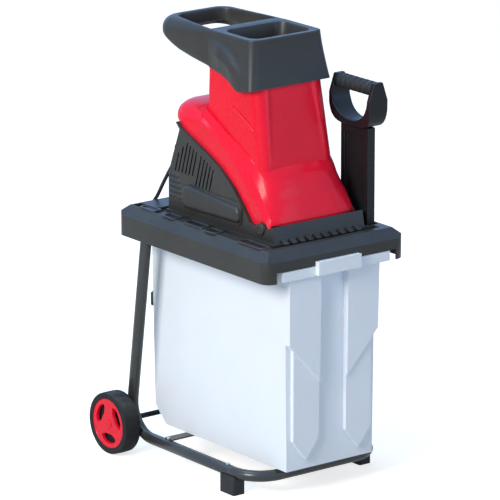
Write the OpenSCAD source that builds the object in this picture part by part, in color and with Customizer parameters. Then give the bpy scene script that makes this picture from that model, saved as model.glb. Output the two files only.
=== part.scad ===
// Garden shredder: hinged cutter housing with hopper on a tray, tube stand with wheels, slide-in bin.
// Millimetres, +Z up, front towards -Y. Origin on the ground, in the middle of the footprint.

/* [Stand] */
// Outer diameter of the stand tubes
tube_d = 25; // [20:0.5:30]
// Wall of the stand tubes
tube_wall = 1.5; // [1:0.1:2.5]
// Distance between the centre lines of the side tubes
frame_w = 350; // [330:1:352]
// Height of the lower rails' centre line
rail_h = 47; // [40:1:60]
// Centre-line radius of the tube bends
bend_r = 70; // [50:1:85]
// Lean of the rear legs
leg_tilt = 8; // [4:1:10]
// Distance from the tray's rear edge to the legs
leg_inset = 89; // [70:1:110]
// Distance from the tray's front edge to the front cross tube
front_tube_set = 64; // [50:1:90]
// Length of a front foot
foot_l = 51; // [40:1:60]
// Width of a front foot
foot_w = 32; // [28:1:40]
// Width of the flat strap under the bin
strap_w = 25; // [15:1:40]
// Thickness of the flat strap under the bin
strap_t = 3.5; // [2:0.1:4]
// Thickness of an axle bracket
bracket_t = 5; // [3:0.5:8]

/* [Wheels] */
// Diameter of a wheel
wheel_d = 140; // [120:1:160]
// Width of a wheel
wheel_w = 42; // [30:1:50]
// Diameter of a wheel's rim
rim_d = 112; // [96:1:116]
// Diameter of the axle
axle_d = 12; // [8:0.5:14]
// Distance of the axle ahead of the tray's rear edge
axle_inset = 17; // [0:1:30]
// Width of a spoke
spoke_w = 17; // [12:0.5:22]

/* [Tray] */
// Width of the tray
tray_w = 380; // [378:1:420]
// Length of the tray
tray_l = 540; // [530:1:580]
// Height of the apron's lower edge above the ground
tray_bottom = 497; // [480:1:520]
// Height of the upright part of the apron
apron_h = 47; // [42:1:60]
// Height of the sloped edge above the apron
slope_h = 20; // [14:1:26]
// Inset of the sloped edge
slope_in = 22; // [10:1:24]
// Wall of the tray
tray_wall = 3.5; // [2.5:0.1:4]
// Radius of the tray's corners seen from above
tray_corner_r = 26; // [10:1:34]
// Width of the corner legs at the tray's front
corner_leg_w = 27; // [20:1:32]
// Width of the moat round the base housing
moat_w = 24; // [10:1:26]
// Depth of the moat round the base housing
moat_depth = 6.5; // [4:0.5:8]

/* [Bin] */
// Width of the bin's body at its top
bin_w = 246; // [220:1:250]
// Length of the bin's body at its top
bin_l = 494; // [470:1:500]
// Height of the bin
bin_h = 455.7; // [440:0.1:456]
// Draft of each upright wall over the bin's height
bin_draft = 5; // [0:0.5:10]
// Wall of the bin
bin_wall = 2.5; // [1.5:0.1:4]
// Overhang of the bin's rim at the sides
rim_over = 23; // [15:0.5:24]
// Overhang of the bin's rim at the front and rear
rim_end_over = 6; // [3:0.5:7]
// Height of the bin's rim
rim_h = 22; // [15:0.5:22]
// Depth of the front wall's relief
relief_t = 12; // [5:0.5:12]
// Width of the upright channel in the middle of the front
channel_w = 74; // [40:1:90]
// Width of the bin's handle
handle_w = 116; // [80:1:140]
// Height of the bin's handle
handle_h = 30; // [24:1:32]
// Reach of the bin's handle in front of the tray
handle_proud = 11; // [8:1:20]
// Thickness of the rails that carry the bin
rail_t = 3; // [2:0.5:4]
// Travel of the bin
bin_travel = 450; // [300:10:480]

/* [Base housing] */
// Width of the base housing
base_w = 246; // [240:1:260]
// Distance from the tray's front edge to the base housing's front
base_set = 60; // [56:1:66]
// Length of the base housing
base_l = 377; // [370:1:384]
// Wall of the base housing
base_wall = 4; // [3:0.1:5]
// Height at which the rear wall starts to lean
knee_h = 84; // [70:1:95]
// Height of the leaning rear wall's top
rear_top_h = 187; // [182:1:188]
// Forward lean of the rear wall at its top
rear_lean = 40; // [34:1:46]
// Width of an air slit
slit_w = 4.5; // [3:0.1:6]
// Spacing of the air slits
slit_pitch = 12.3; // [9:0.1:13]
// Lean of the air slits
slit_tilt = 16.5; // [0:0.5:25]
// Radius of the hinge knuckles
knuckle_r = 14; // [11:0.5:15]
// Width of a hinge knuckle
knuckle_w = 27; // [20:1:28]
// Diameter of the hinge pins
hinge_pin_d = 8; // [5:0.5:10]

/* [Upper cover] */
// Width of the cover's skirt
skirt_w = 230; // [222:1:232]
// Wall of the cover
cover_wall = 3.5; // [2.5:0.1:5]
// Width of the tower's front at its top
tower_top_w = 175; // [164:1:176]
// Width of the tower's front at its foot
tower_foot_w = 189; // [180:1:196]
// Width of the tower's rear
tower_rear_w = 175; // [162:1:175]
// Radius of the tower's upright corners
tower_corner_r = 24; // [14:1:30]
// How far the cover's domed rear reaches past the base housing's collar
dome_reach = 31; // [20:1:34]
// Gap between the cover and the base housing
parting = 0.6; // [0.4:0.1:1.2]

/* [Hopper] */
// Width of the hopper's rim
hopper_top_w = 178; // [174:1:184]
// Width of the hopper's foot at the front
hopper_foot_w = 216; // [206:1:218]
// Length of the hopper's rim
hopper_rim_l = 129; // [120:1:134]
// Width of the hopper's rim face
hopper_rim_t = 9; // [6:0.5:12]
// Width of the loop handle
loop_w = 180; // [166:1:190]
// Width of the loop handle's bar seen from above
loop_bar = 34; // [26:1:40]
// Length of the loop handle behind the rim
loop_l = 214; // [200:1:224]

/* [Plunger] */
// Width of the paddle, front to rear
paddle_w = 94; // [80:1:98]
// Thickness of the paddle
paddle_t = 20; // [16:0.5:22]
// Thickness of the paddle's web
paddle_web = 7; // [4:0.5:10]
// Length of the paddle
paddle_l = 252; // [220:1:280]
// Length of the handle, front to rear
grip_l = 140; // [130:1:150]
// Height of the handle
grip_h = 105; // [95:1:115]
// Width of the handle's cheeks
cheek_w = 58; // [44:1:59]
// Thickness of the handle's cheeks
cheek_t = 15; // [10:0.5:20]
// Diameter of the ribbed grip
grip_d = 27; // [22:0.5:30]
// Number of grooves in the grip
grip_grooves = 7; // [4:1:9]
// Lift of the plunger out of its socket
plunger_travel = 300; // [100:10:400]

/* [Cutter] */
// Lean of the cutter's plate
cut_tilt = 30; // [28:0.5:31]
// Radius of the blade disc
disc_r = 88; // [80:0.5:90]
// Thickness of the blade disc
disc_t = 8; // [5:0.5:10]
// Thickness of a blade
blade_t = 3; // [2:0.5:4]
// Length of a blade
blade_l = 54; // [40:1:58]
// Width of a blade
blade_w = 26; // [18:1:32]
// Diameter of the spindle
spindle_d = 16; // [12:0.5:17]
// Thickness of the deck plate
plate_t = 5; // [3:0.5:6]

/* [Motor] */
// Outer diameter of the stator
stator_d = 90; // [84:1:94]
// Outer diameter of the rotor
rotor_d = 52; // [44:1:54]
// Length of the stator and the rotor
core_l = 40; // [34:1:42]
// Diameter of the cooling fan
fan_d = 64; // [50:1:66]
// Number of fan blades
fan_blades = 9; // [5:1:13]
// Diameter of the commutator
commutator_d = 30; // [24:0.5:34]

/* [Switch, lock and lead] */
// Width of the switch box
switch_w = 60; // [56:1:64]
// Diameter of a push button
button_d = 20; // [16:0.5:22]
// Travel of a push button
button_travel = 3; // [2:0.5:4]
// Diameter of the lock knob
knob_d = 40; // [30:1:46]
// Height of the lock knob
knob_h = 18; // [12:1:24]
// Diameter of the lock stud
stud_d = 8; // [6:0.5:9]
// Diameter of the mains lead
lead_d = 8; // [6:0.5:9]

/* [Hidden] */
$fn = 48;
// Clearance of a shaft or pin in its bore
fit = 0.05;
// Clearance between pieces that pass each other
gap = 0.3;
eps = 1;
leg_start = 30 * eps;

// Colours of the drawn pieces
steel = [0.6, 0.6, 0.62];
bright = [0.75, 0.75, 0.77];
iron = [0.5, 0.5, 0.52];
wire = [0.72, 0.4, 0.18];
dark = [0.24, 0.25, 0.26];
paint = [0.2, 0.2, 0.19];
black = [0.13, 0.14, 0.15];

// Tray and stand levels
tray_top = tray_bottom + apron_h + slope_h;
part_l = handle_proud + tray_l + wheel_d / 2 - axle_inset;
tray_front = -part_l / 2 + handle_proud;
tray_rear = tray_front + tray_l;
bin_front = tray_front + 7;
bin_rear = bin_front + bin_l;
// Room between the bin's rear and the axle
axle_room = 15;
axle_y = max(part_l / 2 - wheel_d / 2, bin_rear + axle_room + axle_d / 2);
axle_z = wheel_d / 2;
deck_under = tray_top - moat_depth - tray_wall;
tube_r = tube_d / 2;
side_x = frame_w / 2;

// Stand tubes: the leg and the rail meet in the lower bend
leg_y = tray_rear - leg_inset;
corner_y = leg_y + (tray_bottom - rail_h) * tan(leg_tilt);
bend_y = corner_y - bend_r * tan((90 + leg_tilt) / 2);
bend_end = [bend_y + bend_r * cos(leg_tilt), rail_h + bend_r + bend_r * sin(leg_tilt)];
socket_top = tray_top - tray_wall - 14;
leg_len = (socket_top - bend_end[1]) / cos(leg_tilt);
front_tube_y = tray_front + front_tube_set;
joint_run = 7;
joint_y = front_tube_y + bend_r + joint_run;
spigot_l = 30;
strap_y = tray_rear - 168;
screw_r = 2.5;
screw_head_r = 4.5;
screw_head_h = 2.5;

// Wheels on the axle
wheel_gap = 2.5;
wheel_x = side_x + tube_r + wheel_gap;
hub_r = 17;
hub_face = 8;
axle_end = wheel_x + wheel_w - hub_face;
spacer_r = 10;

// The cutter head is drawn from the tray's top, with Y counted from the base housing's front
base_front = tray_front + base_set;
base_rear = base_front + base_l;
head_y = base_front + 231;
base_y0 = base_front - head_y;
base_y1 = base_rear - head_y;
rear_top_y = base_y1 - rear_lean;
collar_y = rear_top_y + 14;
// Parting line between the base housing and the cover, from the rear to the front
parting_line = [[collar_y, 201], [92, 186], [48, 168], [5, 150], [-38, 129], [-82, 95],
    [-116, 61], [-142, 31], [-156, 27]];
// Parting line of the cover, which goes on under the domed rear
dome_y = collar_y + dome_reach;
cover_line = concat([[dome_y, 212]], parting_line);
// Skirt beside the tower: along, upper edge of the flat side band, crease and collar
skirt_rows = [[-204, 38, 41, 41.5], [-176, 48, 77, 77.5], [-147, 79, 108, 108.5], [-122, 100, 131, 141],
    [-97, 124, 149, 163], [-62, 162, 173, 187], [-26, 183, 192, 206], [38, 219, 227, 245]];
crease_in = 7;
collar_in = 17.5;
// Domed rear of the skirt: along, narrowing, wall, top and shoulder
dome_rows = [[38, 0, 217, 228, 8], [60, 0, 211, 238, 27], [90, 0, 208, 245, 44], [118, 2, 208, 246, 52],
    [dome_y - 13, 14, 210, 244, 50], [dome_y - 4, 28, 211, 238, 40], [dome_y, 45, 213, 227, 22]];
finger_y = 68;
slice_t = 0.1;
hopper_screw_l = 16;
hinge = [-182, 24];
lip = [-217, 38];
lip_side = 33;
panel_top = [-223, 36];
panel_rim = 1.5;
flare_top = [-156, 147];
tower_top = [-118, 350];
tower_rear_y = 44;
knuckle_x = base_w / 2 - knuckle_w;
ear_t = 11.5;
rim_depth = 5;

// Lock at the rear, square to the circle that the cover's tongue swings on
lock_z = 171;
lock_y = base_y1 - rear_lean * (lock_z - knee_h) / (rear_top_h - knee_h);
lock_a = atan2(lock_z - hinge[1], lock_y - hinge[0]);
tongue_u = norm([collar_y - hinge[0], parting_line[0][1] - hinge[1]]) - norm([lock_y - hinge[0],
    lock_z - hinge[1]]) + 1.5;
tongue_t = 5;
knob_gap = 0.6;
tongue_w = 40;

// Cutter and motor, drawn from the middle of the deck plate's top
cut_y = -10;
cut_z = 116;
plate_y0 = -120;
plate_y1 = 122;
plate_w = base_w - 2 * base_wall - 2 * gap;
disc_z = 4;
spindle_r = spindle_d / 2;
tail_r = 5;
bearing_w = 10;
bearing_r = 17.5;
tail_bearing_r = 13;
tail_bearing_w = 9;
stator_z = -32 - core_l;
air_gap = 0.4;
rotor_r = rotor_d / 2;
fan_z = -26;
fan_h = 12;
comm_l = 16;
comm_z = stator_z - 6 - comm_l;
boss_z = comm_z - 14;
arm_x = 38;
arm_t = 8;
arm_w = 28;
pad_t = 4;
post_r = 5;
post_at = stator_d / 2 - post_r;

// Chute below the front edge of the deck plate
chute_x = 72;
chute_y0 = -172;
chute_y1 = -113;
chute_z0 = -14;
chute_z1 = 46;
chute_t = 2;

// Hopper and its loop
hopper_y0 = -128;
hopper_z = 419;
hopper_rim_y0 = -120;
hopper_line = [[hopper_y0, 316], [-84, 310], [-35, 319], [-8, 334], [39, 342], [125, 347], [172, 356]];
hopper_rim_y1 = hopper_rim_y0 + hopper_rim_l;
loop_y1 = hopper_rim_y1 + loop_l;
loop_hole_y0 = 44;
loop_corner_r = 55;

// Bin and its rails
bin_top = tray_bottom + rim_h;
bin_bottom = bin_top - bin_h;
rim_x = bin_w / 2 + rim_over;
rim_y0 = bin_front - rim_end_over;
rim_y1 = bin_rear + rim_end_over;
rail_x1 = rim_x + gap + 2 + rail_t;
rail_y0 = bin_front + 20;
rail_y1 = bin_rear - 5;
rail_lip_z = tray_bottom - gap - rail_t;
front_cut_z = bin_top + 2;
panel_margin = 16;
panel_tip = bin_bottom + 0.05 * bin_h;
panel_foot = bin_bottom + 0.15 * bin_h;
step_inner = bin_bottom + 0.425 * bin_h;
step_outer = bin_bottom + 0.635 * bin_h;
step_t = 2;
panel_x0 = channel_w / 2;
panel_x1 = bin_w / 2 - panel_margin;
step_side = step_outer - panel_margin * (step_outer - step_inner) / (bin_w / 2 - panel_x0);
// Edge of a panel below the step, from its outer side round the tip
panel_edge = [[panel_x1, panel_foot], [(panel_x0 + panel_x1) / 2, panel_tip], [panel_x0, panel_foot]];
handle_z0 = tray_bottom + 3;
handle_z1 = handle_z0 + handle_h;

// Plunger and its socket in the tray
// Room between the base housing and the middle of the plunger
plunger_room = 22;
plunger_x = base_w / 2 + plunger_room;
plunger_y = head_y - 179;
socket_floor = bin_top + 7;
socket_gap = 0.4;
socket_wall = 3;
recess_depth = 12;
recess_x1 = tray_w / 2 - slope_in - 2;
paddle_z = socket_floor + gap;
handle_bottom = paddle_z + paddle_l;
handle_top = handle_bottom + grip_h;
grip_z = handle_top - grip_d / 2;

// Switch box on the leaning rear wall
switch_x0 = -104;
switch_top = [118, 178];
switch_corner = [150, 138];
switch_foot = 123;
button_out = 4;
button_in = 9;

// Mains lead: gland, route and plug
gland_l = 26;
gland_tilt = 45;
gland_foot = 5;
gland_y = switch_corner[0] - 9;
lead_x = -95;
plug_l = 48;
// Route of the lead after the gland, counted from the tray's rear top edge
lead_start = [lead_x, head_y + gland_y + gland_l * sin(gland_tilt),
    tray_top + switch_foot - gland_foot - gland_l * cos(gland_tilt)];
lead_course = [[-95, -84, 94], [-95, -76, 84.5], [-95, -67, 73], [-95, -55.5, 56.5], [-95, -44, 40],
    [-94.5, -32, 22.5], [-93.5, -21, 7.5], [-92, -11, -2.5], [-90, -3, -9.5], [-87, 3, -17],
    [-84, 6.5, -28], [-81, 7.5, -46], [-78, 7.5, -66], [-76, 7.5, -86], [-74, 7.5, -106],
    [-72, 7.5, -126],
    [-71, 7.5, -146], [-70, 7.5, -166], [-70, 7.5, -186], [-70, 7.5, -204]];
lead_route = concat([lead_start], [for (p = lead_course) p + [0, tray_rear, tray_top]]);
lead_sides = 10;
plug_top = lead_route[len(lead_route) - 1];

// Safety switch and counter knife
switch_h = 22;
knife_z = disc_z + disc_t + blade_t + screw_head_h + 1;
knife_t = 3;
knife_y0 = disc_r - 26;
knife_y1 = plate_y1 - 6;
knife_block_y = disc_r + 4;

NODES = ["left_side_tube", "right_side_tube", "front_tube", "bin_strap", "left_front_foot",
    "right_front_foot", "frame_screws", "axle_brackets", "wheel_axle", "axle_spacers", "left_tyre",
    "right_tyre", "left_rim", "right_rim", "tray", "bin_rails", "tray_screws", "bin",
    "base_housing", "hinge_pins", "deck_plate", "discharge_chute", "counter_knife", "knife_screws",
    "blade_disc", "blades", "blade_screws", "hub_nut", "spindle", "upper_bearing", "lower_bearing",
    "cooling_fan", "rotor_core", "rotor_winding", "commutator", "stator_core", "field_coils",
    "motor_posts", "motor_cradle", "motor_screws", "brush_holders", "capacitor", "upper_cover",
    "hopper", "hopper_screws", "lock_stud", "lock_knob", "safety_switch", "switch_box",
    "on_button", "off_button", "cord_gland", "mains_lead", "plug_body", "plug_pins",
    "plunger_paddle", "plunger_handle", "plunger_grip"];
node = "all";

// Extrudes an outline drawn in X and Z along Y
module along_y(y0, y1) {
    translate([0, y1, 0])
        rotate([90, 0, 0])
            linear_extrude(y1 - y0)
                children();
}

// Extrudes an outline drawn in Y and Z along X
module along_x(x0, x1) {
    translate([x0, 0, 0])
        rotate([90, 0, 90])
            linear_extrude(x1 - x0)
                children();
}

// Block given by its two corners
module block(low, high) {
    translate(low)
        cube(high - low);
}

// Rectangle with round corners
module rounded(x0, x1, y0, y1, r) {
    translate([x0 + r, y0])
        square([x1 - x0 - 2 * r, y1 - y0]);
    translate([x0, y0 + r])
        square([x1 - x0, y1 - y0 - 2 * r]);
    for (x = [x0 + r, x1 - r], y = [y0 + r, y1 - r])
        translate([x, y])
            circle(r);
}

// Copy on both sides of the middle plane
module both_sides() {
    for (side = [0, 1])
        mirror([side, 0, 0])
            children();
}

module tube_ring(d = tube_d, wall = tube_wall) {
    difference() {
        circle(d = d);
        circle(d = d - 2 * wall);
    }
}

// Frame of the cutter head, on the tray's top
module head() {
    translate([0, head_y, tray_top])
        children();
}

// Frame of the deck plate, leaning towards the front
module incline() {
    head()
        translate([0, cut_y, cut_z])
            rotate([cut_tilt, 0, 0])
                children();
}

// Frame of the lock, its Z axis pointing out from the hinge
module lock_frame() {
    head()
        translate([0, lock_y, lock_z])
            rotate([lock_a - 90, 0, 0])
                children();
}

// Frame of the switch box's sloped face, its Z axis pointing out
module switch_face(along) {
    slope = atan2(switch_corner[0] - switch_top[0], switch_top[1] - switch_corner[1]);
    mid = (switch_top + switch_corner) / 2;
    head()
        translate([switch_x0 + along, mid[0], mid[1]])
            rotate([slope - 90, 0, 0])
                children();
}

// Screw with its head above the origin and its shank below
module screw(length, head_r = screw_head_r) {
    cylinder(r = head_r, h = screw_head_h);
    translate([0, 0, -length])
        cylinder(r = screw_r, h = length);
}

// Hole for a screw's shank
module screw_hole(length) {
    translate([0, 0, -length])
        cylinder(r = screw_r + fit, h = length + eps);
}

// Places on the left tube's top where a screw goes in
module frame_screw_places() {
    translate([-side_x, joint_y + spigot_l / 2, rail_h + tube_r])
        children();
    translate([-side_x, strap_y, rail_h + tube_r + strap_t])
        children();
}

// Straight ends reach over the slightly thinner bend
module left_tube_path() {
    lap = 1;
    slim = 0.1;
    translate([-side_x, bend_y + lap, rail_h])
        rotate([90, 0, 0])
            linear_extrude(bend_y + lap - joint_y)
                tube_ring();
    translate([-side_x, bend_y, rail_h + bend_r])
        rotate([90, 0, 90])
            rotate([0, 0, -90])
                rotate_extrude(angle = 90 + leg_tilt)
                    translate([bend_r, 0])
                        tube_ring(tube_d - 2 * slim, tube_wall - 2 * slim);
    translate([-side_x, bend_end[0], bend_end[1]])
        rotate([leg_tilt, 0, 0])
            translate([0, 0, -lap])
                linear_extrude(leg_len + lap)
                    tube_ring();
}

module left_side_tube() {
    color(paint)
        difference() {
            left_tube_path();
            frame_screw_places()
                screw_hole(16);
        }
}

module right_side_tube() {
    mirror([1, 0, 0])
        left_side_tube();
}

module front_tube() {
    color(paint)
        difference() {
            union() {
                translate([-side_x + bend_r, front_tube_y, rail_h])
                    rotate([90, 0, 90])
                        linear_extrude(frame_w - 2 * bend_r)
                            tube_ring();
                both_sides() {
                    translate([-side_x + bend_r, front_tube_y + bend_r, rail_h])
                        rotate([0, 0, 180])
                            rotate_extrude(angle = 90)
                                translate([bend_r, 0])
                                    tube_ring();
                    translate([-side_x, joint_y, rail_h])
                        rotate([90, 0, 0])
                            linear_extrude(joint_run)
                                tube_ring();
                    translate([-side_x, joint_y + spigot_l, rail_h])
                        rotate([90, 0, 0])
                            linear_extrude(spigot_l)
                                tube_ring(tube_d - 2 * tube_wall - 2 * fit, tube_wall);
                    translate([-side_x, joint_y + eps, rail_h])
                        rotate([90, 0, 0])
                            linear_extrude(eps + tube_wall)
                                tube_ring(tube_d - 2 * tube_wall - 2 * fit, 2 * tube_wall);
                    translate([-side_x, joint_y, rail_h])
                        rotate([90, 0, 0])
                            linear_extrude(tube_wall)
                                tube_ring(tube_d, 2 * tube_wall);
                }
            }
            both_sides()
                frame_screw_places()
                    screw_hole(16);
        }
}

module bin_strap() {
    color(black)
        difference() {
            block([-side_x, strap_y - strap_w / 2, rail_h + tube_r],
                [side_x, strap_y + strap_w / 2, rail_h + tube_r + strap_t]);
            both_sides()
                frame_screw_places()
                    screw_hole(16);
        }
}

module left_front_foot() {
    color([0.13, 0.13, 0.13])
        difference() {
            translate([-side_x, joint_y, 0])
                linear_extrude(rail_h - 6)
                    rounded(-foot_w / 2, foot_w / 2, -foot_l / 2, foot_l / 2, 5);
            translate([-side_x, joint_y + foot_l, rail_h])
                rotate([90, 0, 0])
                    cylinder(r = tube_r + fit, h = 2 * foot_l);
            // Room for the bend of the front tube
            block([-side_x, joint_y - foot_l, rail_h - tube_r - gap],
                [-side_x + foot_w, joint_y - joint_run + gap, rail_h]);
        }
}

module right_front_foot() {
    mirror([1, 0, 0])
        left_front_foot();
}

module frame_screws() {
    color(iron)
        both_sides()
            frame_screw_places()
                screw(14);
}

// Gusset from the lower bend to the axle
module axle_brackets() {
    reach = [axle_y - bend_y, axle_z - rail_h - bend_r];
    boss_r = axle_d / 2 + 7;
    color(paint)
        both_sides()
            along_x(-side_x - bracket_t / 2, -side_x + bracket_t / 2)
                translate([bend_y, rail_h + bend_r])
                    rotate(atan2(reach[1], reach[0]))
                        difference() {
                            union() {
                                translate([norm(reach), 0])
                                    circle(boss_r);
                                translate([bend_r, -boss_r])
                                    square([norm(reach) - bend_r, 2 * boss_r]);
                            }
                            circle(bend_r + tube_r + fit);
                            translate([norm(reach), 0])
                                circle(axle_d / 2 + fit);
                        }
}

module wheel_axle() {
    color(dark)
        translate([-axle_end, axle_y, axle_z])
            rotate([0, 90, 0])
                cylinder(d = axle_d, h = 2 * axle_end);
}

module axle_spacers() {
    color(black)
        both_sides()
            translate([side_x + bracket_t / 2, axle_y, axle_z])
                rotate([0, 90, 0])
                    difference() {
                        cylinder(r = spacer_r, h = wheel_x - gap - side_x - bracket_t / 2);
                        translate([0, 0, -eps])
                            cylinder(d = axle_d + 2 * fit, h = wheel_w);
                    }
}

// Places a wheel drawn along Z with its outer face up
module at_left_wheel() {
    translate([-wheel_x, axle_y, axle_z])
        rotate([0, -90, 0])
            children();
}

module tyre_body() {
    tyre_r = wheel_d / 2;
    edge = 5;
    color([0.14, 0.14, 0.14])
        rotate_extrude($fn = 96)
            polygon([[rim_d / 2, 0], [tyre_r - edge, 0], [tyre_r, edge], [tyre_r, wheel_w - edge],
                [tyre_r - edge, wheel_w], [rim_d / 2, wheel_w]]);
}

module rim_body() {
    ring_t = 11;
    face_t = 10;
    hub_rise = 0.5;
    dish = 2;
    spoke_count = 3;
    rim_r = rim_d / 2;
    color([0.85, 0.1, 0.13])
        difference() {
            union() {
                difference() {
                    cylinder(r = rim_r, h = wheel_w, $fn = 96);
                    translate([0, 0, -eps])
                        cylinder(r = rim_r - ring_t, h = wheel_w + 2 * eps, $fn = 96);
                }
                cylinder(r = hub_r, h = wheel_w - dish + hub_rise);
                for (i = [0 : spoke_count - 1])
                    rotate(-90 + i * 360 / spoke_count)
                        block([-spoke_w / 2, 0, wheel_w - dish - face_t],
                            [spoke_w / 2, rim_r - ring_t + 2, wheel_w - dish]);
            }
            translate([0, 0, -eps])
                cylinder(d = axle_d + 2 * fit, h = wheel_w - hub_face + gap + eps);
        }
}

module left_tyre() {
    at_left_wheel()
        tyre_body();
}

module right_tyre() {
    mirror([1, 0, 0])
        left_tyre();
}

module left_rim() {
    at_left_wheel()
        rim_body();
}

module right_rim() {
    mirror([1, 0, 0])
        left_rim();
}

// Outer form of the tray, or its hollow with an inset
module tray_form(inset, low) {
    half_w = tray_w / 2 - inset;
    y0 = tray_front + inset;
    y1 = tray_rear - inset;
    top = tray_top - inset;
    knee = tray_bottom + apron_h - inset / 2;
    intersection() {
        translate([0, 0, low])
            linear_extrude(top - low)
                rounded(-half_w, half_w, y0, y1, tray_corner_r - inset);
        along_y(y0, y1)
            polygon([[-half_w, low], [half_w, low], [half_w, knee], [half_w - slope_in, top],
                [slope_in - half_w, top], [-half_w, knee]]);
        along_x(-half_w, half_w)
            polygon([[y0, low], [y1, low], [y1, knee], [y1 - slope_in, top], [y0 + slope_in, top],
                [y0, knee]]);
    }
}

// Axis of the left leg inside the tray
module left_leg_axis() {
    translate([-side_x, leg_y, tray_bottom])
        rotate([leg_tilt, 0, 0])
            children();
}

// Places of the screws that hold the base housing on the tray
module tray_screw_places() {
    for (x = [-100, 100], y = [base_front + 85, base_rear - 30])
        translate([x, y, deck_under])
            mirror([0, 0, 1])
                children();
}

module tray() {
    moat_x = base_w / 2 + moat_w;
    slot = [[-tray_w / 2 + slope_in + 2, tray_rear - 121],
        [-tray_w / 2 + slope_in + 27, tray_rear - 27]];
    slot_depth = tray_top - tray_wall - deck_under - gap;
    cup_x0 = plunger_x - paddle_t / 2 - socket_gap;
    cup_x1 = plunger_x + paddle_t / 2 + socket_gap;
    cup_y = paddle_w / 2 + socket_gap;
    color(dark)
        difference() {
            union() {
                difference() {
                    tray_form(0, tray_bottom);
                    tray_form(tray_wall, tray_bottom - eps);
                }
                block([-moat_x - tray_wall, base_front - moat_w - tray_wall, deck_under],
                    [moat_x + tray_wall, base_rear + moat_w, tray_top - tray_wall + eps / 2]);
                intersection() {
                    tray_form(0, tray_bottom);
                    both_sides()
                        left_leg_axis()
                            translate([0, 0, -leg_start])
                                cylinder(r = tube_r + 4, h = tray_top - tray_bottom + 40);
                }
                block([cup_x0 - socket_wall, plunger_y - cup_y - socket_wall,
                    socket_floor - socket_wall],
                    [cup_x1 + socket_wall, plunger_y + cup_y + socket_wall, tray_top - tray_wall]);
                block([cup_x0 - socket_wall, plunger_y - cup_y - 2 * socket_wall,
                    tray_top - recess_depth - socket_wall],
                    [recess_x1, plunger_y + cup_y + 2 * socket_wall, tray_top - tray_wall]);
                block([slot[0][0] - tray_wall, slot[0][1] - tray_wall,
                    tray_top - slot_depth - tray_wall],
                    [slot[1][0] + tray_wall, slot[1][1] + tray_wall, tray_top - tray_wall]);
            }
            // Moat round the base housing
            difference() {
                block([-moat_x, base_front - moat_w, tray_top - moat_depth],
                    [moat_x, base_rear + moat_w - tray_wall, tray_top + eps]);
                block([-base_w / 2 - 4, base_front - 4, 0],
                    [base_w / 2 + 4, base_rear + 4, tray_top + 2 * eps]);
                block([cup_x0 - 2 * socket_wall, plunger_y - cup_y - 3 * socket_wall, 0],
                    [moat_x + eps, plunger_y + cup_y + 3 * socket_wall, tray_top + 2 * eps]);
            }
            // Opening under the chute
            block([-chute_x - gap, head_y + chute_y0 - gap, 0],
                [chute_x + gap, head_y + chute_y1 + gap, tray_top + eps]);
            // Sockets of the legs
            both_sides()
                left_leg_axis()
                    translate([0, 0, -leg_start])
                        cylinder(r = tube_r + fit,
                            h = (socket_top - tray_bottom) / cos(leg_tilt) + leg_start + gap);
            // Front apron between the corner legs, higher over the bin's handle
            block([-tray_w / 2 + corner_leg_w, tray_front - eps, 0],
                [tray_w / 2 - corner_leg_w, tray_front + tray_wall + 24, front_cut_z]);
            block([-handle_w / 2 - 3, tray_front - eps, 0],
                [handle_w / 2 + 3, tray_front + tray_wall + 24, handle_z1 + 1.5]);
            // Recess and socket of the plunger
            block([cup_x0, plunger_y - cup_y - socket_wall, tray_top - recess_depth],
                [recess_x1 - socket_wall, plunger_y + cup_y + socket_wall, tray_top + eps]);
            block([cup_x0, plunger_y - cup_y, socket_floor], [cup_x1, plunger_y + cup_y, tray_top]);
            // Slot at the rear left
            block([slot[0][0], slot[0][1], tray_top - slot_depth],
                [slot[1][0], slot[1][1], tray_top + eps]);
            tray_screw_places()
                screw_hole(30);
        }
}

// Channel rails under the tray that carry the bin's rim
module bin_rails() {
    lip_x = bin_w / 2 + 4;
    top_x = bin_w / 2 + 8;
    color(dark)
        difference() {
            both_sides()
                along_y(rail_y0, rail_y1)
                    union() {
                        translate([rail_x1 - rail_t, rail_lip_z])
                            square([rail_t, deck_under - rail_lip_z]);
                        translate([lip_x, rail_lip_z])
                            square([rail_x1 - lip_x, rail_t]);
                        translate([top_x, deck_under - rail_t])
                            square([rail_x1 - top_x, rail_t]);
                    }
            block([bin_w / 2, plunger_y - paddle_w / 2 - 5 * socket_wall,
                socket_floor - socket_wall - 1.5],
                [rail_x1 + eps, plunger_y + paddle_w / 2 + 5 * socket_wall, tray_top]);
        }
}

module tray_screws() {
    color(steel)
        tray_screw_places()
            screw(moat_depth + tray_wall + base_wall + 6);
}

// Outer form of the bin's body, or its hollow with an inset
module bin_form(inset, low, high) {
    top_x = bin_w / 2 - inset;
    foot_x = top_x - bin_draft;
    y0 = bin_front + inset;
    y1 = bin_rear - inset;
    rear_facet = 38;
    intersection() {
        along_y(y0, y1)
            polygon([[-foot_x, low], [foot_x, low], [top_x, high], [-top_x, high]]);
        along_x(-top_x, top_x)
            polygon([[y0 + bin_draft, low], [y1 - bin_draft - rear_facet, low],
                [y1 - bin_draft, low + rear_facet],
                [y1, high], [y0, high]]);
    }
}

// Raised panel on the front, pointed below, under a slanted step
module bin_panel_outline() {
    polygon(concat([[panel_x1, step_side]], panel_edge, [[panel_x0, step_inner]]));
}

// Margin below the step and half of the channel, set back from the panels
module bin_margin_outline() {
    low = bin_bottom - eps;
    high = bin_top - rim_h;
    polygon(concat([[-eps, low], [bin_w / 2, low], [bin_w / 2, step_outer], [panel_x1, step_side]],
        panel_edge, [[panel_x0, high], [-eps, high]]));
}

module bin_handle() {
    block([-handle_w / 2, tray_front - handle_proud, handle_z0], [handle_w / 2, rim_y0 + 6, handle_z1]);
}

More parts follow.
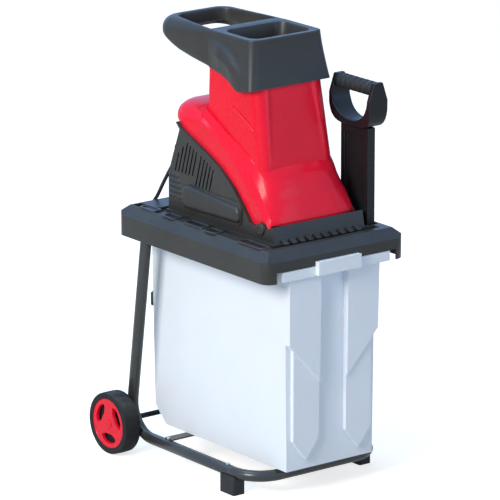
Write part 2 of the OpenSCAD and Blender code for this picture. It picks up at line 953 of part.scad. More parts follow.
module bin() {
    color([0.74, 0.8, 0.9])
        difference() {
            union() {
                bin_form(0, bin_bottom, bin_top);
                block([-rim_x, rim_y0, bin_top - rim_h], [rim_x, rim_y1, bin_top]);
                bin_handle();
            }
            // Hollow of the rim, open below
            difference() {
                block([-rim_x + bin_wall, rim_y0 + bin_wall, 0],
                    [rim_x - bin_wall, rim_y1 - bin_wall, bin_top - bin_wall]);
                bin_form(0, bin_bottom, bin_top);
                bin_handle();
            }
            // Inside of the bin, with the front wall thick enough for its relief
            intersection() {
                bin_form(bin_wall, bin_bottom + bin_wall, bin_top + eps);
                block([-bin_w, bin_front + bin_draft + relief_t + bin_wall, 0],
                    [bin_w, bin_rear, bin_top + 2 * eps]);
            }
            both_sides()
                along_y(bin_front - eps, bin_front + bin_draft + relief_t)
                    bin_margin_outline();
            // Lower panels, a step behind the upper ones
            both_sides()
                along_y(bin_front - eps, bin_front + bin_draft + step_t)
                    bin_panel_outline();
            // Finger room under the handle
            block([-handle_w / 2 + 4, tray_front - handle_proud + 4, handle_z0 - eps],
                [handle_w / 2 - 4, rim_y0 - eps, handle_z1 - 4]);
        }
}

// Side outline of the base housing
module base_outline() {
    polygon(concat([[base_y0, 0], [base_y1, 0], [base_y1, knee_h], [rear_top_y, rear_top_h]],
        parting_line,
        [[-200, 27], panel_top]));
}

// Side outline of the space inside the base housing, open at the top
module base_inside() {
    inner_top = rear_top_y - base_wall;
    polygon([[base_y0 + base_wall + 0.8, base_wall], [base_y1 - base_wall, base_wall],
        [base_y1 - base_wall, knee_h],
        [inner_top, rear_top_h - 1], [inner_top, hopper_z], [panel_top[0] + panel_rim, hopper_z],
        [panel_top[0] + panel_rim, panel_top[1]]]);
}

// Slanted air slits through both side walls
module air_slits() {
    rows = 11;
    first_y = base_y1 - 24;
    for (i = [0 : rows - 1]) {
        y = first_y - i * slit_pitch;
        low = i < 6 ? 90 : 70;
        high = min(lookup(y - 15, parting_line) - 20, 134 + i * 16.5);
        translate([-base_w, y - slit_w / 2, low])
            rotate([slit_tilt, 0, 0])
                cube([2 * base_w, slit_w, (high - low) / cos(slit_tilt)]);
    }
}

// Level grooves at the rear of both side walls
module side_grooves() {
    for (i = [0 : 4])
        both_sides()
            block([base_w / 2 - 1.5, base_y1 - 50 + 3 * i, 29 + i * 11.8],
                [base_w / 2 + eps, base_y1 - 6, 35 + i * 11.8]);
}

module base_housing() {
    inner_x = base_w / 2 - base_wall;
    bulge_t = 3;
    color(dark)
        difference() {
            union() {
                head()
                    difference() {
                        union() {
                            along_x(-base_w / 2, base_w / 2)
                                base_outline();
                            both_sides()
                                along_x(base_w / 2 - eps, base_w / 2 + bulge_t)
                                    rounded(base_y0 + 113, base_y1 - 55, 16, 68, 16);
                        }
                        along_x(-inner_x, inner_x)
                            base_inside();
                        air_slits();
                        side_grooves();
                    }
                // Rim under the cover's skirt
                head()
                    both_sides()
                        along_x(skirt_w / 2 - 5, inner_x + eps)
                            polygon(concat(parting_line, [for (i = [len(parting_line) - 1 : -1 : 0])
                                parting_line[i] - [0, rim_depth]]));
                // Ledges under the deck plate
                incline()
                    both_sides()
                        block([inner_x - 9, plate_y0 + 4, -plate_t - 6],
                            [inner_x + eps, plate_y1 - 10, -plate_t]);
                // Hinge knuckles
                head()
                    both_sides()
                        along_x(knuckle_x, base_w / 2)
                            union() {
                                translate(hinge)
                                    circle(knuckle_r);
                                translate([hinge[0] - knuckle_r, base_wall - eps])
                                    square([2 * knuckle_r, hinge[1] - base_wall + eps]);
                            }
                // Boss of the lock stud
                lock_frame()
                    translate([0, 0, -base_wall - 2])
                        cylinder(r = stud_d / 2 + 7, h = base_wall + 2 + tongue_u - 0.5);
            }
            head()
                both_sides()
                    translate([knuckle_x - eps, hinge[0], hinge[1]])
                        rotate([0, 90, 0])
                            cylinder(d = hinge_pin_d + 2 * fit, h = knuckle_w - 2 + eps);
            head()
                block([-chute_x - gap, chute_y0 - gap, -eps],
                    [chute_x + gap, chute_y1 + gap, base_wall + eps]);
            lock_frame()
                translate([0, 0, -30])
                    cylinder(d = stud_d + 2 * fit, h = 60);
            tray_screw_places()
                screw_hole(moat_depth + tray_wall + base_wall + 8);
        }
}

module hinge_pins() {
    color(steel)
        head()
            both_sides()
                translate([knuckle_x - ear_t - 1.5, hinge[0], hinge[1]])
                    rotate([0, 90, 0])
                        cylinder(d = hinge_pin_d, h = ear_t + 1.5 + knuckle_w - 2);
}

module deck_plate() {
    color(steel)
        incline()
            difference() {
                union() {
                    block([-plate_w / 2, plate_y0, -plate_t], [plate_w / 2, plate_y1, 0]);
                    translate([0, 0, -bearing_w - 2])
                        cylinder(r = bearing_r + 5, h = bearing_w + 2);
                }
                translate([0, 0, -bearing_w - 3])
                    cylinder(r = bearing_r + fit, h = bearing_w + 3 + eps);
                knife_screw_places()
                    screw_hole(40);
            }
}

module discharge_chute() {
    flange = 8;
    color(iron)
        head()
            difference() {
                union() {
                    block([-chute_x, chute_y0, chute_z0], [chute_x, chute_y1, chute_z1]);
                    block([-chute_x - flange, chute_y0 - flange, base_wall],
                        [chute_x + flange, chute_y1 + flange, base_wall + chute_t]);
                }
                block([-chute_x + chute_t, chute_y0 + chute_t, chute_z0 - eps],
                    [chute_x - chute_t, chute_y1 - chute_t, chute_z1 + eps]);
            }
}

// Screws through the counter knife, its block and the deck plate
module knife_screw_places() {
    for (x = [-20, 20])
        translate([x, (knife_block_y + knife_y1) / 2, knife_z + knife_t])
            children();
}

module counter_knife() {
    half_w = 35;
    color(bright)
        incline()
            difference() {
                union() {
                    block([-half_w, knife_block_y, 0], [half_w, knife_y1, knife_z]);
                    block([-half_w, knife_y0, knife_z], [half_w, knife_y1, knife_z + knife_t]);
                }
                knife_screw_places()
                    screw_hole(40);
            }
}

module knife_screws() {
    color(steel)
        incline()
            knife_screw_places()
                screw(knife_z + knife_t + plate_t);
}

// Screws through the blades into the blade disc
module blade_screw_places() {
    for (turn = [0, 180], at = [0.25, 0.75])
        rotate(turn)
            translate([disc_r - 4 - blade_l + at * blade_l, 0, disc_z + disc_t + blade_t])
                children();
}

module blade_disc() {
    color(steel)
        incline()
            difference() {
                translate([0, 0, disc_z])
                    cylinder(r = disc_r, h = disc_t, $fn = 96);
                cylinder(r = spindle_r + fit, h = 2 * disc_z + disc_t);
                blade_screw_places()
                    screw_hole(30);
            }
}

module blades() {
    color(bright)
        incline()
            difference() {
                for (turn = [0, 180])
                    rotate(turn)
                        translate([disc_r - 4 - blade_l, -blade_w / 2, disc_z + disc_t])
                            cube([blade_l, blade_w, blade_t]);
                blade_screw_places()
                    screw_hole(30);
            }
}

module blade_screws() {
    color(iron)
        incline()
            blade_screw_places()
                screw(blade_t + disc_t);
}

module hub_nut() {
    nut_r = spindle_r + 5;
    color(steel)
        incline()
            translate([0, 0, disc_z + disc_t])
                difference() {
                    cylinder(r = nut_r, h = 10, $fn = 6);
                    translate([0, 0, -eps])
                        cylinder(r = spindle_r + fit, h = 12);
                }
}

module spindle() {
    top = disc_z + disc_t + 12;
    step = comm_z - 2;
    color(bright)
        incline() {
            translate([0, 0, step])
                cylinder(r = spindle_r, h = top - step);
            translate([0, 0, boss_z + 2])
                cylinder(r = tail_r, h = step - boss_z - 2 + eps);
        }
}

// Ring from a bore to an outer radius
module ring(low, height, bore_r, outer_r) {
    translate([0, 0, low])
        difference() {
            cylinder(r = outer_r, h = height);
            translate([0, 0, -eps])
                cylinder(r = bore_r, h = height + 2 * eps);
        }
}

module upper_bearing() {
    color(bright)
        incline()
            ring(-bearing_w - 1, bearing_w, spindle_r + fit, bearing_r);
}

module lower_bearing() {
    color(bright)
        incline()
            ring(boss_z + 2, tail_bearing_w, tail_r + fit, tail_bearing_r);
}

module cooling_fan() {
    blade = 2;
    color(paint)
        incline() {
            ring(fan_z, fan_h, spindle_r + fit, spindle_r + 5);
            ring(fan_z, blade, spindle_r + 4, fan_d / 2);
            for (i = [0 : fan_blades - 1])
                rotate(i * 360 / fan_blades)
                    block([spindle_r + 4, -blade / 2, fan_z],
                        [fan_d / 2 - 1, blade / 2, fan_z + fan_h - 2]);
        }
}

module rotor_core() {
    color(iron)
        incline()
            ring(stator_z, core_l, spindle_r + fit, rotor_r);
}

module rotor_winding() {
    end = 4.5;
    color(wire)
        incline() {
            ring(stator_z + core_l, end, spindle_r + fit, rotor_r - 4);
            ring(stator_z - end, end, spindle_r + fit, rotor_r - 4);
        }
}

module commutator() {
    color(wire)
        incline()
            ring(comm_z, comm_l, spindle_r + fit, commutator_d / 2);
}

module stator_core() {
    color(iron)
        incline()
            difference() {
                ring(stator_z, core_l, rotor_r + air_gap, stator_d / 2);
                motor_screw_places()
                    screw_hole(30);
            }
}

// Field winding ends, beside the posts above and beside the pads below
module field_coils() {
    span = 64;
    coil_h = 5;
    coil_r = stator_d / 2 - 12;
    color(wire)
        incline()
            for (turn = [0, 90, 180, 270])
                translate([0, 0, turn % 180 == 0 ? stator_z + core_l : stator_z - coil_h])
                    rotate(turn - span / 2)
                        rotate_extrude(angle = span)
                            translate([coil_r - 4, 0])
                                square([8, coil_h]);
}

// Posts between the deck plate and the stator
module motor_posts() {
    color(iron)
        incline()
            for (turn = [60, 120, 240, 300])
                rotate(turn)
                    translate([post_at, 0, stator_z + core_l])
                        cylinder(r = post_r, h = -plate_t - stator_z - core_l);
}

// Screws from the cradle's pads into the stator
module motor_screw_places() {
    for (turn = [0, 180])
        rotate(turn)
            translate([arm_x - 4.8, 0, stator_z - pad_t])
                mirror([0, 0, 1])
                    children();
}

// Bracket below the stator that holds the lower bearing
module motor_cradle() {
    arm_end = arm_x + arm_t;
    color(iron)
        incline()
            difference() {
                union() {
                    for (side = [0, 180])
                        rotate(side) {
                            block([arm_x - 8, -arm_w / 2, stator_z - pad_t],
                                [arm_end, arm_w / 2, stator_z]);
                            block([arm_x, -arm_w / 2, boss_z + 2],
                                [arm_end, arm_w / 2, stator_z - pad_t / 2]);
                        }
                    block([-arm_end, -10, boss_z + 2], [arm_end, 10, boss_z + 9]);
                    translate([0, 0, boss_z])
                        cylinder(r = tail_bearing_r + 4, h = 11);
                }
                translate([0, 0, boss_z + 2])
                    cylinder(r = tail_bearing_r + fit, h = 20);
                translate([0, 0, boss_z - eps])
                    cylinder(r = tail_r + 1, h = 10);
                motor_screw_places()
                    screw_hole(30);
            }
}

module motor_screws() {
    color(steel)
        incline()
            motor_screw_places()
                screw(18, screw_head_r - 0.6);
}

module brush_holders() {
    color([0.35, 0.25, 0.15])
        incline()
            for (side = [0, 180])
                rotate(side)
                    block([commutator_d / 2 + air_gap, -6, comm_z + 1],
                        [arm_x, 6, comm_z + comm_l - 1]);
}

module capacitor() {
    can_r = 14;
    color(bright)
        head()
            translate([84, base_y1 - 40, base_wall + can_r])
                rotate([90, 0, 0])
                    cylinder(r = can_r, h = 52);
}

// Tower from the flare to the hopper, or its hollow with an inset
module tower_form(inset, rise) {
    r = tower_corner_r - inset;
    hull() {
        for (side = [-1, 1]) {
            translate([side * (tower_top_w / 2 - tower_corner_r), tower_top[0] + tower_corner_r,
                tower_top[1] - 1])
                cylinder(r = r, h = 1 + rise, $fn = 32);
            translate([side * (tower_foot_w / 2 - tower_corner_r), flare_top[0] + tower_corner_r,
                flare_top[1]])
                cylinder(r = r, h = 1, $fn = 32);
            for (z = [flare_top[1], tower_top[1] - 1])
                translate([side * (tower_rear_w / 2 - tower_corner_r),
                    tower_rear_y - tower_corner_r, z])
                    cylinder(r = r, h = z > flare_top[1] ? 1 + rise : 1, $fn = 32);
        }
    }
}

// Flared foot at the tower's front, or its hollow with an inset
module flare_form(inset) {
    foot_x = skirt_w / 2 - inset;
    hull() {
        block([-foot_x, lip[0] + inset, lip[1] - (inset > 0 ? eps : 0)],
            [foot_x, flare_top[0] + 20, lip[1] + 2]);
        for (side = [-1, 1])
            translate([side * (tower_foot_w / 2 - tower_corner_r), flare_top[0] + tower_corner_r,
                flare_top[1] - 1])
                cylinder(r = tower_corner_r - inset, h = 2, $fn = 32);
    }
}

// Space above the cover's parting line, open below with an inset
module skirt_outline(inset) {
    drop = inset > 0 ? 40 : -parting;
    polygon(concat(
        [for (p = cover_line) [min(p[0], dome_y - inset), p[1] - drop]],
        [[-205, lip_side - (inset > 0 ? drop : 0)], [-205, hopper_z], [dome_y - inset, hopper_z]]));
}

// Thin slice across the skirt beside the tower
module skirt_slice(row, inset) {
    half_w = skirt_w / 2 - inset;
    half = [[half_w, -cut_z], [half_w, row[1] - inset], [half_w - crease_in, row[2] - inset],
        [half_w - collar_in, row[3] - inset]];
    along_y(row[0], row[0] + slice_t)
        polygon(concat(half, [for (i = [len(half) - 1 : -1 : 0]) [-half[i][0], half[i][1]]]));
}

// Thin slice across the domed rear, with round shoulders
module dome_slice(row, inset) {
    half_w = skirt_w / 2 - row[1] - inset;
    r = row[4] - inset / 2;
    half = concat([[half_w, -cut_z]], [for (a = [90 : -15 : 0])
        [half_w - r + r * sin(a), row[2] - inset + (row[3] - row[2]) * cos(a)]]);
    along_y(min(row[0], dome_y - inset) - slice_t, min(row[0], dome_y - inset))
        polygon(concat(half, [for (i = [len(half) - 1 : -1 : 0]) [-half[i][0], half[i][1]]]));
}

module skirt_form(inset) {
    intersection() {
        along_x(-skirt_w / 2 + inset, skirt_w / 2 - inset)
            skirt_outline(inset);
        union() {
            for (i = [0 : len(skirt_rows) - 2])
                hull() {
                    skirt_slice(skirt_rows[i], inset);
                    skirt_slice(skirt_rows[i + 1], inset);
                }
            for (i = [0 : len(dome_rows) - 2])
                hull() {
                    dome_slice(dome_rows[i], inset);
                    dome_slice(dome_rows[i + 1], inset);
                }
        }
    }
}

// Screws from inside the tower into the hopper
module hopper_screw_places() {
    seat = tower_rear_w / 2 - cover_wall - 1;
    head()
        for (side = [0, 180], y = [-90, -40])
            translate([0, y, tower_top[1] - 10])
                rotate([0, -90, side])
                    translate([0, 0, -seat])
                        children();
}

module upper_cover() {
    color([0.86, 0.1, 0.15])
        difference() {
            union() {
                head()
                    difference() {
                        union() {
                            skirt_form(0);
                            tower_form(0, 0);
                            flare_form(0);
                        }
                        skirt_form(cover_wall);
                        tower_form(cover_wall, 2);
                        flare_form(cover_wall);
                        both_sides()
                            translate([knuckle_x - 0.5, hinge[0], hinge[1]])
                                rotate([0, 90, 0])
                                    cylinder(r = knuckle_r + parting, h = base_w);
                    }
                // Ears on the hinge pins
                head()
                    both_sides()
                        along_x(knuckle_x - 0.5 - ear_t, knuckle_x - 0.5)
                            union() {
                                translate(hinge)
                                    circle(knuckle_r - 3);
                                polygon([hinge + [3 - knuckle_r, 0], hinge + [knuckle_r - 3, 0],
                                    hinge + [4, 48], hinge + [-16, 46]]);
                            }
                // Bosses of the hopper's screws
                hopper_screw_places()
                    translate([0, 0, -cover_wall])
                        cylinder(r = screw_head_r + 3, h = cover_wall);
                // Web that carries the tongue under the domed rear
                head()
                    intersection() {
                        block([-tongue_w / 2, collar_y - cover_wall, parting_line[0][1] + 2],
                            [tongue_w / 2, collar_y + 1.5, hopper_z]);
                        skirt_form(0);
                    }
                // Tongue under the lock knob
                lock_frame()
                    translate([-tongue_w / 2, -34, tongue_u])
                        cube([tongue_w, 48, tongue_t]);
                // Finger that presses the safety switch
                difference() {
                    head()
                        intersection() {
                            block([52, finger_y, cut_z], [60, finger_y + 8, hopper_z]);
                            skirt_form(0);
                        }
                    incline()
                        block([40, 60, -60], [72, 180, switch_h + gap]);
                }
            }
            head()
                both_sides()
                    translate([0, hinge[0], hinge[1]])
                        rotate([0, 90, 0])
                            cylinder(d = hinge_pin_d + 2 * fit, h = base_w / 2);
            lock_frame() {
                translate([0, 0, tongue_u - eps])
                    cylinder(d = stud_d + 3, h = tongue_t + 2 * eps);
                translate([-stud_d / 2 - 1.5, 0, tongue_u - eps])
                    cube([stud_d + 3, 40, tongue_t + 2 * eps]);
            }
            hopper_screw_places()
                screw_hole(2 * hopper_screw_l);
        }
}

module safety_switch() {
    color(black)
        incline()
            block([44, 99, 0], [68, 117, switch_h]);
}

// Side outline of the hopper with its loop
module hopper_outline() {
    end_r = 17;
    end_z = hopper_z - 16 - end_r;
    polygon(concat(hopper_line, [[loop_y1 - end_r, end_z - end_r + 6], [loop_y1 - 4, end_z - 2],
        [loop_y1, end_z + 10], [loop_y1, hopper_z - 8], [loop_y1 - 8, hopper_z],
        [hopper_rim_y0, hopper_z]]));
}

module hopper_plan() {
    foot_x = hopper_foot_w / 2;
    loop_x = loop_w / 2;
    rounded(-loop_x, loop_x, hopper_y0 + 40, loop_y1, loop_corner_r);
    polygon([[-foot_x, hopper_y0], [foot_x, hopper_y0], [foot_x, 10], [loop_x, 70], [-loop_x, 70],
        [-foot_x, 10]]);
}

// Space for the tower's upper end
module tower_seat() {
    slack = 0.2;
    low = hopper_line[1][1] - 2;
    high = tower_top[1] + slack;
    drop = tower_top[1] - low;
    rise = tower_top[1] - flare_top[1];
    y0 = tower_top[0] - slack;
    y1 = tower_rear_y + slack;
    x0 = tower_top_w / 2 + slack;
    foot_y = y0 - drop * (tower_top[0] - flare_top[0]) / rise;
    foot_x = x0 + drop * (tower_foot_w - tower_top_w) / 2 / rise;
    rear_x = tower_rear_w / 2 + slack;
    r = tower_corner_r;
    intersection() {
        along_x(-foot_x, foot_x)
            polygon([[foot_y, low], [y1, low], [y1, high], [y0, high]]);
        along_y(foot_y, y1)
            polygon([[-foot_x, low], [foot_x, low], [x0, high], [-x0, high]]);
        translate([0, 0, low])
            linear_extrude(high - low) {
                polygon([[-rear_x, y1], [rear_x, y1], [foot_x, foot_y + r], [foot_x - r, foot_y + r],
                    [foot_x - r, foot_y], [r - foot_x, foot_y], [r - foot_x, foot_y + r],
                    [-foot_x, foot_y + r]]);
                for (side = [-1, 1])
                    translate([side * (foot_x - r), foot_y + r])
                        circle(r);
            }
    }
}

module hopper() {
    foot_x = hopper_foot_w / 2;
    top_x = hopper_top_w / 2;
    mouth_x = top_x - hopper_rim_t;
    hole_x = loop_w / 2 - loop_bar;
    color(dark)
        head()
            difference() {
                intersection() {
                    along_x(-foot_x, foot_x)
                        hopper_outline();
                    linear_extrude(hopper_z)
                        hopper_plan();
                    along_y(hopper_y0, loop_y1)
                        polygon([[-foot_x, 300], [foot_x, 300], [foot_x, 316], [top_x, hopper_z],
                            [-top_x, hopper_z],
                            [-foot_x, 316]]);
                }
                tower_seat();
                // Mouth
                block([-mouth_x, hopper_rim_y0 + hopper_rim_t, tower_top[1] - 20],
                    [mouth_x, hopper_rim_y1 - hopper_rim_t, hopper_z + eps]);
                // Space behind the mouth, inside the tower
                block([-mouth_x, hopper_rim_y1, tower_top[1] - 20],
                    [mouth_x, loop_hole_y0 - 8, hopper_z - 6]);
                // Loop
                linear_extrude(hopper_z + eps)
                    rounded(-hole_x, hole_x, loop_hole_y0, loop_y1 - loop_bar, 22);
                head_inverse()
                    hopper_screw_places()
                        screw_hole(hopper_screw_l + 2);
            }
}

// Brings what is placed on the tray's top back to the head's own frame
module head_inverse() {
    translate([0, -head_y, -tray_top])
        children();
}

module hopper_screws() {
    color(steel)
        hopper_screw_places()
            screw(hopper_screw_l);
}

module lock_stud() {
    color(bright)
        lock_frame() {
            translate([0, 0, -base_wall - 2 - 4])
                cylinder(d = stud_d + 6, h = 4);
            translate([0, 0, -base_wall - 3])
                cylinder(d = stud_d, h = base_wall + 3 + tongue_u + tongue_t + knob_h - 4);
        }
}

module lock_knob() {
    lobes = 6;
    lobe_r = 5.5;
    color(black)
        lock_frame()
            translate([0, 0, tongue_u + tongue_t + knob_gap])
                difference() {
                    union() {
                        cylinder(d = knob_d - lobe_r, h = knob_h);
                        for (i = [0 : lobes - 1])
                            rotate(i * 360 / lobes)
                                translate([knob_d / 2 - lobe_r, 0, 3])
                                    cylinder(r = lobe_r, h = knob_h - 3);
                    }
                    translate([0, 0, -eps])
                        cylinder(d = stud_d + 2 * fit, h = knob_h - 3 + eps);
                }
}

// Side outline of the switch box, against the leaning rear wall
module switch_outline(inset) {
    wall_slope = rear_lean / (rear_top_h - knee_h);
    top_y = base_y1 - (switch_top[1] - knee_h) * wall_slope;
    foot_y = base_y1 - (switch_foot - knee_h) * wall_slope;
    polygon([[top_y - inset, switch_top[1] - inset], switch_top - [0.4, 1] * inset,
        switch_corner - [1, 0.4] * inset,
        [switch_corner[0] - inset, switch_foot + inset], [foot_y - inset, switch_foot + inset]]);
}

module switch_box() {
    wall = 3;
    color(dark)
        difference() {
            head()
                difference() {
                    along_x(switch_x0, switch_x0 + switch_w)
                        switch_outline(0);
                    along_x(switch_x0 + wall, switch_x0 + switch_w - wall)
                        switch_outline(wall);
                }
            for (at = [0.28, 0.72])
                switch_face(at * switch_w)
                    translate([0, 0, -wall - 8])
                        cylinder(d = button_d + 2 * fit, h = wall + 12);
        }
}

module push_button() {
    flange = 1.5;
    translate([0, 0, -button_in])
        cylinder(d = button_d, h = button_in + button_out);
    translate([0, 0, -button_in])
        cylinder(d = button_d + 2 * flange, h = 2);
}

module on_button() {
    color([0.1, 0.55, 0.2])
        switch_face(0.28 * switch_w)
            push_button();
}

module off_button() {
    color([0.75, 0.08, 0.08])
        switch_face(0.72 * switch_w)
            push_button();
}

module cord_gland() {
    foot_r = 7;
    color([0.1, 0.1, 0.1])
        translate([lead_x, head_y + gland_y, tray_top + switch_foot]) {
            translate([0, 0, -gland_foot])
                cylinder(r = foot_r, h = gland_foot);
            translate([0, 0, -gland_foot])
                rotate([gland_tilt - 180, 0, 0])
                    cylinder(r1 = foot_r - 0.8, r2 = lead_d / 2 + 0.8, h = gland_l);
        }
}

// Unit vector along the lead at point i
function lead_dir(i) = let(a = lead_route[max(i - 1, 0)],
    b = lead_route[min(i + 1, len(lead_route) - 1)])
    (b - a) / norm(b - a);

// Point on the lead's surface: ring i, corner k, with X as a side axis
function lead_point(i, k) = let(t = lead_dir(i), side = cross(t, [0, t[2], -t[1]]),
    s = side / norm(side),
    u = cross(s, t), a = 360 * k / lead_sides)
    lead_route[i] + lead_d / 2 * (cos(a) * s + sin(a) * u);

module mains_lead() {
    n = len(lead_route);
    points = [for (i = [0 : n - 1], k = [0 : lead_sides - 1]) lead_point(i, k)];
    walls = [for (i = [0 : n - 2], k = [0 : lead_sides - 1], half = [0, 1])
        let(a = i * lead_sides + k, b = i * lead_sides + (k + 1) % lead_sides)
            half == 0 ? [a, b, b + lead_sides] : [a, b + lead_sides, a + lead_sides]];
    start = [for (k = [lead_sides - 1 : -1 : 0]) k];
    end = [for (k = [0 : lead_sides - 1]) (n - 1) * lead_sides + k];
    color([0.08, 0.08, 0.08])
        polyhedron(points, concat(walls, [start, end]));
}

module plug_body() {
    color([0.09, 0.09, 0.09])
        translate(plug_top - [0, 0, plug_l]) {
            cylinder(r = 18, h = 26);
            translate([0, 0, 26])
                cylinder(r1 = 16, r2 = lead_d / 2 + 1.5, h = plug_l - 26);
        }
}

module plug_pins() {
    pin_l = 19;
    pin_pitch = 19;
    color([0.75, 0.72, 0.6])
        for (side = [-1, 1])
            translate(plug_top + [side * pin_pitch / 2, 0, -plug_l - pin_l])
                cylinder(d = 4.8, h = pin_l);
}

// Flanged paddle, drawn from its middle
module plunger_paddle() {
    color(black)
        translate([plunger_x, plunger_y, paddle_z])
            difference() {
                block([-paddle_t / 2, -paddle_w / 2, 0], [paddle_t / 2, paddle_w / 2, paddle_l]);
                for (side = [0, 1])
                    mirror([side, 0, 0])
                        block([paddle_web / 2, -paddle_w / 2 + 14, 30],
                            [paddle_t, paddle_w / 2 - 14, paddle_l - 20]);
            }
}

module plunger_handle() {
    half_l = grip_l / 2;
    hand_r = half_l - cheek_t;
    foot = 16;
    color(black)
        translate([plunger_x, plunger_y, handle_bottom])
            difference() {
                along_y(-half_l, half_l)
                    polygon([[-20, 0], [20, 0], [cheek_w / 2, 36], [cheek_w / 2, 54],
                        [12, grip_h], [-12, grip_h],
                        [-cheek_w / 2, 54], [-cheek_w / 2, 36]]);
                along_x(-cheek_w, cheek_w)
                    union() {
                        translate([0, foot + hand_r])
                            circle(hand_r);
                        translate([-hand_r, foot + hand_r])
                            square([2 * hand_r, grip_h]);
                    }
                along_x(-cheek_w, cheek_w)
                    for (side = [-1, 1])
                        polygon([[side * half_l, -eps], [side * (half_l - 22), -eps],
                            [side * (half_l + eps), 30],
                            [side * (half_l + eps), -eps]]);
            }
}

module plunger_grip() {
    bar_l = grip_l - 2 * cheek_t;
    pitch = bar_l / (grip_grooves + 1);
    color([0.1, 0.1, 0.11])
        translate([plunger_x, plunger_y - bar_l / 2, grip_z])
            rotate([-90, 0, 0])
                difference() {
                    cylinder(d = grip_d, h = bar_l);
                    for (i = [1 : grip_grooves])
                        translate([0, 0, i * pitch - 1.5])
                            difference() {
                                cylinder(d = grip_d + 2, h = 3);
                                translate([0, 0, -eps])
                                    cylinder(d = grip_d - 3, h = 3 + 2 * eps);
                            }
                }
}

// True for the node asked for, or for all
function shown(name) = node == "all" || node == name;

if (shown("left_side_tube")) left_side_tube();
if (shown("right_side_tube")) right_side_tube();
if (shown("front_tube")) front_tube();
if (shown("bin_strap")) bin_strap();
if (shown("left_front_foot")) left_front_foot();
if (shown("right_front_foot")) right_front_foot();
if (shown("frame_screws")) frame_screws();
if (shown("axle_brackets")) axle_brackets();
if (shown("wheel_axle")) wheel_axle();
if (shown("axle_spacers")) axle_spacers();
if (shown("left_tyre")) left_tyre();
if (shown("right_tyre")) right_tyre();
if (shown("left_rim")) left_rim();
if (shown("right_rim")) right_rim();
if (shown("tray")) tray();
if (shown("bin_rails")) bin_rails();
if (shown("tray_screws")) tray_screws();
if (shown("bin")) bin();
if (shown("base_housing")) base_housing();
if (shown("hinge_pins")) hinge_pins();
if (shown("deck_plate")) deck_plate();
if (shown("discharge_chute")) discharge_chute();
if (shown("counter_knife")) counter_knife();
if (shown("knife_screws")) knife_screws();
if (shown("blade_disc")) blade_disc();
if (shown("blades")) blades();
if (shown("blade_screws")) blade_screws();
if (shown("hub_nut")) hub_nut();
if (shown("spindle")) spindle();
if (shown("upper_bearing")) upper_bearing();
if (shown("lower_bearing")) lower_bearing();
if (shown("cooling_fan")) cooling_fan();
if (shown("rotor_core")) rotor_core();
if (shown("rotor_winding")) rotor_winding();
if (shown("commutator")) commutator();
if (shown("stator_core")) stator_core();
if (shown("field_coils")) field_coils();
if (shown("motor_posts")) motor_posts();
if (shown("motor_cradle")) motor_cradle();
if (shown("motor_screws")) motor_screws();
if (shown("brush_holders")) brush_holders();
if (shown("capacitor")) capacitor();
if (shown("upper_cover")) upper_cover();
if (shown("hopper")) hopper();
if (shown("hopper_screws")) hopper_screws();
if (shown("lock_stud")) lock_stud();
if (shown("lock_knob")) lock_knob();
if (shown("safety_switch")) safety_switch();
if (shown("switch_box")) switch_box();
if (shown("on_button")) on_button();
if (shown("off_button")) off_button();
if (shown("cord_gland")) cord_gland();
if (shown("mains_lead")) mains_lead();
if (shown("plug_body")) plug_body();
if (shown("plug_pins")) plug_pins();
if (shown("plunger_paddle")) plunger_paddle();
if (shown("plunger_handle")) plunger_handle();
if (shown("plunger_grip")) plunger_grip();
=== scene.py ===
"""Visual model of a garden shredder on its wheeled stand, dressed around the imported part."""
import math

import bmesh
import bpy
from bpy.props import FloatProperty, FloatVectorProperty, PointerProperty
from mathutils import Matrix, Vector


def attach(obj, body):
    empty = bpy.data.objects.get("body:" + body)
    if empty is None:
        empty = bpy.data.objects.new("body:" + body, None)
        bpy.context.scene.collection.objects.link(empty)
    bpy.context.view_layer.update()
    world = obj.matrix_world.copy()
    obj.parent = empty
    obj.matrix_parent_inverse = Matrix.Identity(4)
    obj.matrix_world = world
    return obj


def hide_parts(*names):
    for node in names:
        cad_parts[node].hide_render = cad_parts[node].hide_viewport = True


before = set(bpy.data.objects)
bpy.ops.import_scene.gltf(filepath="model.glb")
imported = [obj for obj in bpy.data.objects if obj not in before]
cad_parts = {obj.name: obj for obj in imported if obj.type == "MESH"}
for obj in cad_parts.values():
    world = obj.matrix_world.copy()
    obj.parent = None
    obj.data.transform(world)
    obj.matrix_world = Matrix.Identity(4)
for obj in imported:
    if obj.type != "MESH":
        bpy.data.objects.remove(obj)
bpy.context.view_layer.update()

bl_info = {
    "name": "Garden shredder",
    "version": (1, 0, 0),
    "blender": (4, 5, 0),
    "location": "View3D > Sidebar > Shredder",
    "description": "Builds the visual pieces of a garden shredder on its stand",
    "category": "Object",
}

MM = 0.001
TRAY_TOP = 564.0

# Route of the mains lead, from the gland's tip to the plug, in metres
LEAD_ROUTE = [
    (-0.095, 0.1594, 0.6636), (-0.095, 0.165, 0.658), (-0.095, 0.173, 0.6485),
    (-0.095, 0.182, 0.637), (-0.095, 0.1935, 0.6205), (-0.095, 0.205, 0.604),
    (-0.0945, 0.217, 0.5865), (-0.0935, 0.228, 0.5715), (-0.092, 0.238, 0.5615),
    (-0.090, 0.246, 0.5545), (-0.087, 0.252, 0.547), (-0.084, 0.2555, 0.536),
    (-0.081, 0.2565, 0.518), (-0.078, 0.2565, 0.498), (-0.076, 0.2565, 0.478),
    (-0.074, 0.2565, 0.458), (-0.072, 0.2565, 0.438), (-0.071, 0.2565, 0.418),
    (-0.070, 0.2565, 0.398), (-0.070, 0.2565, 0.378), (-0.070, 0.2565, 0.360),
]


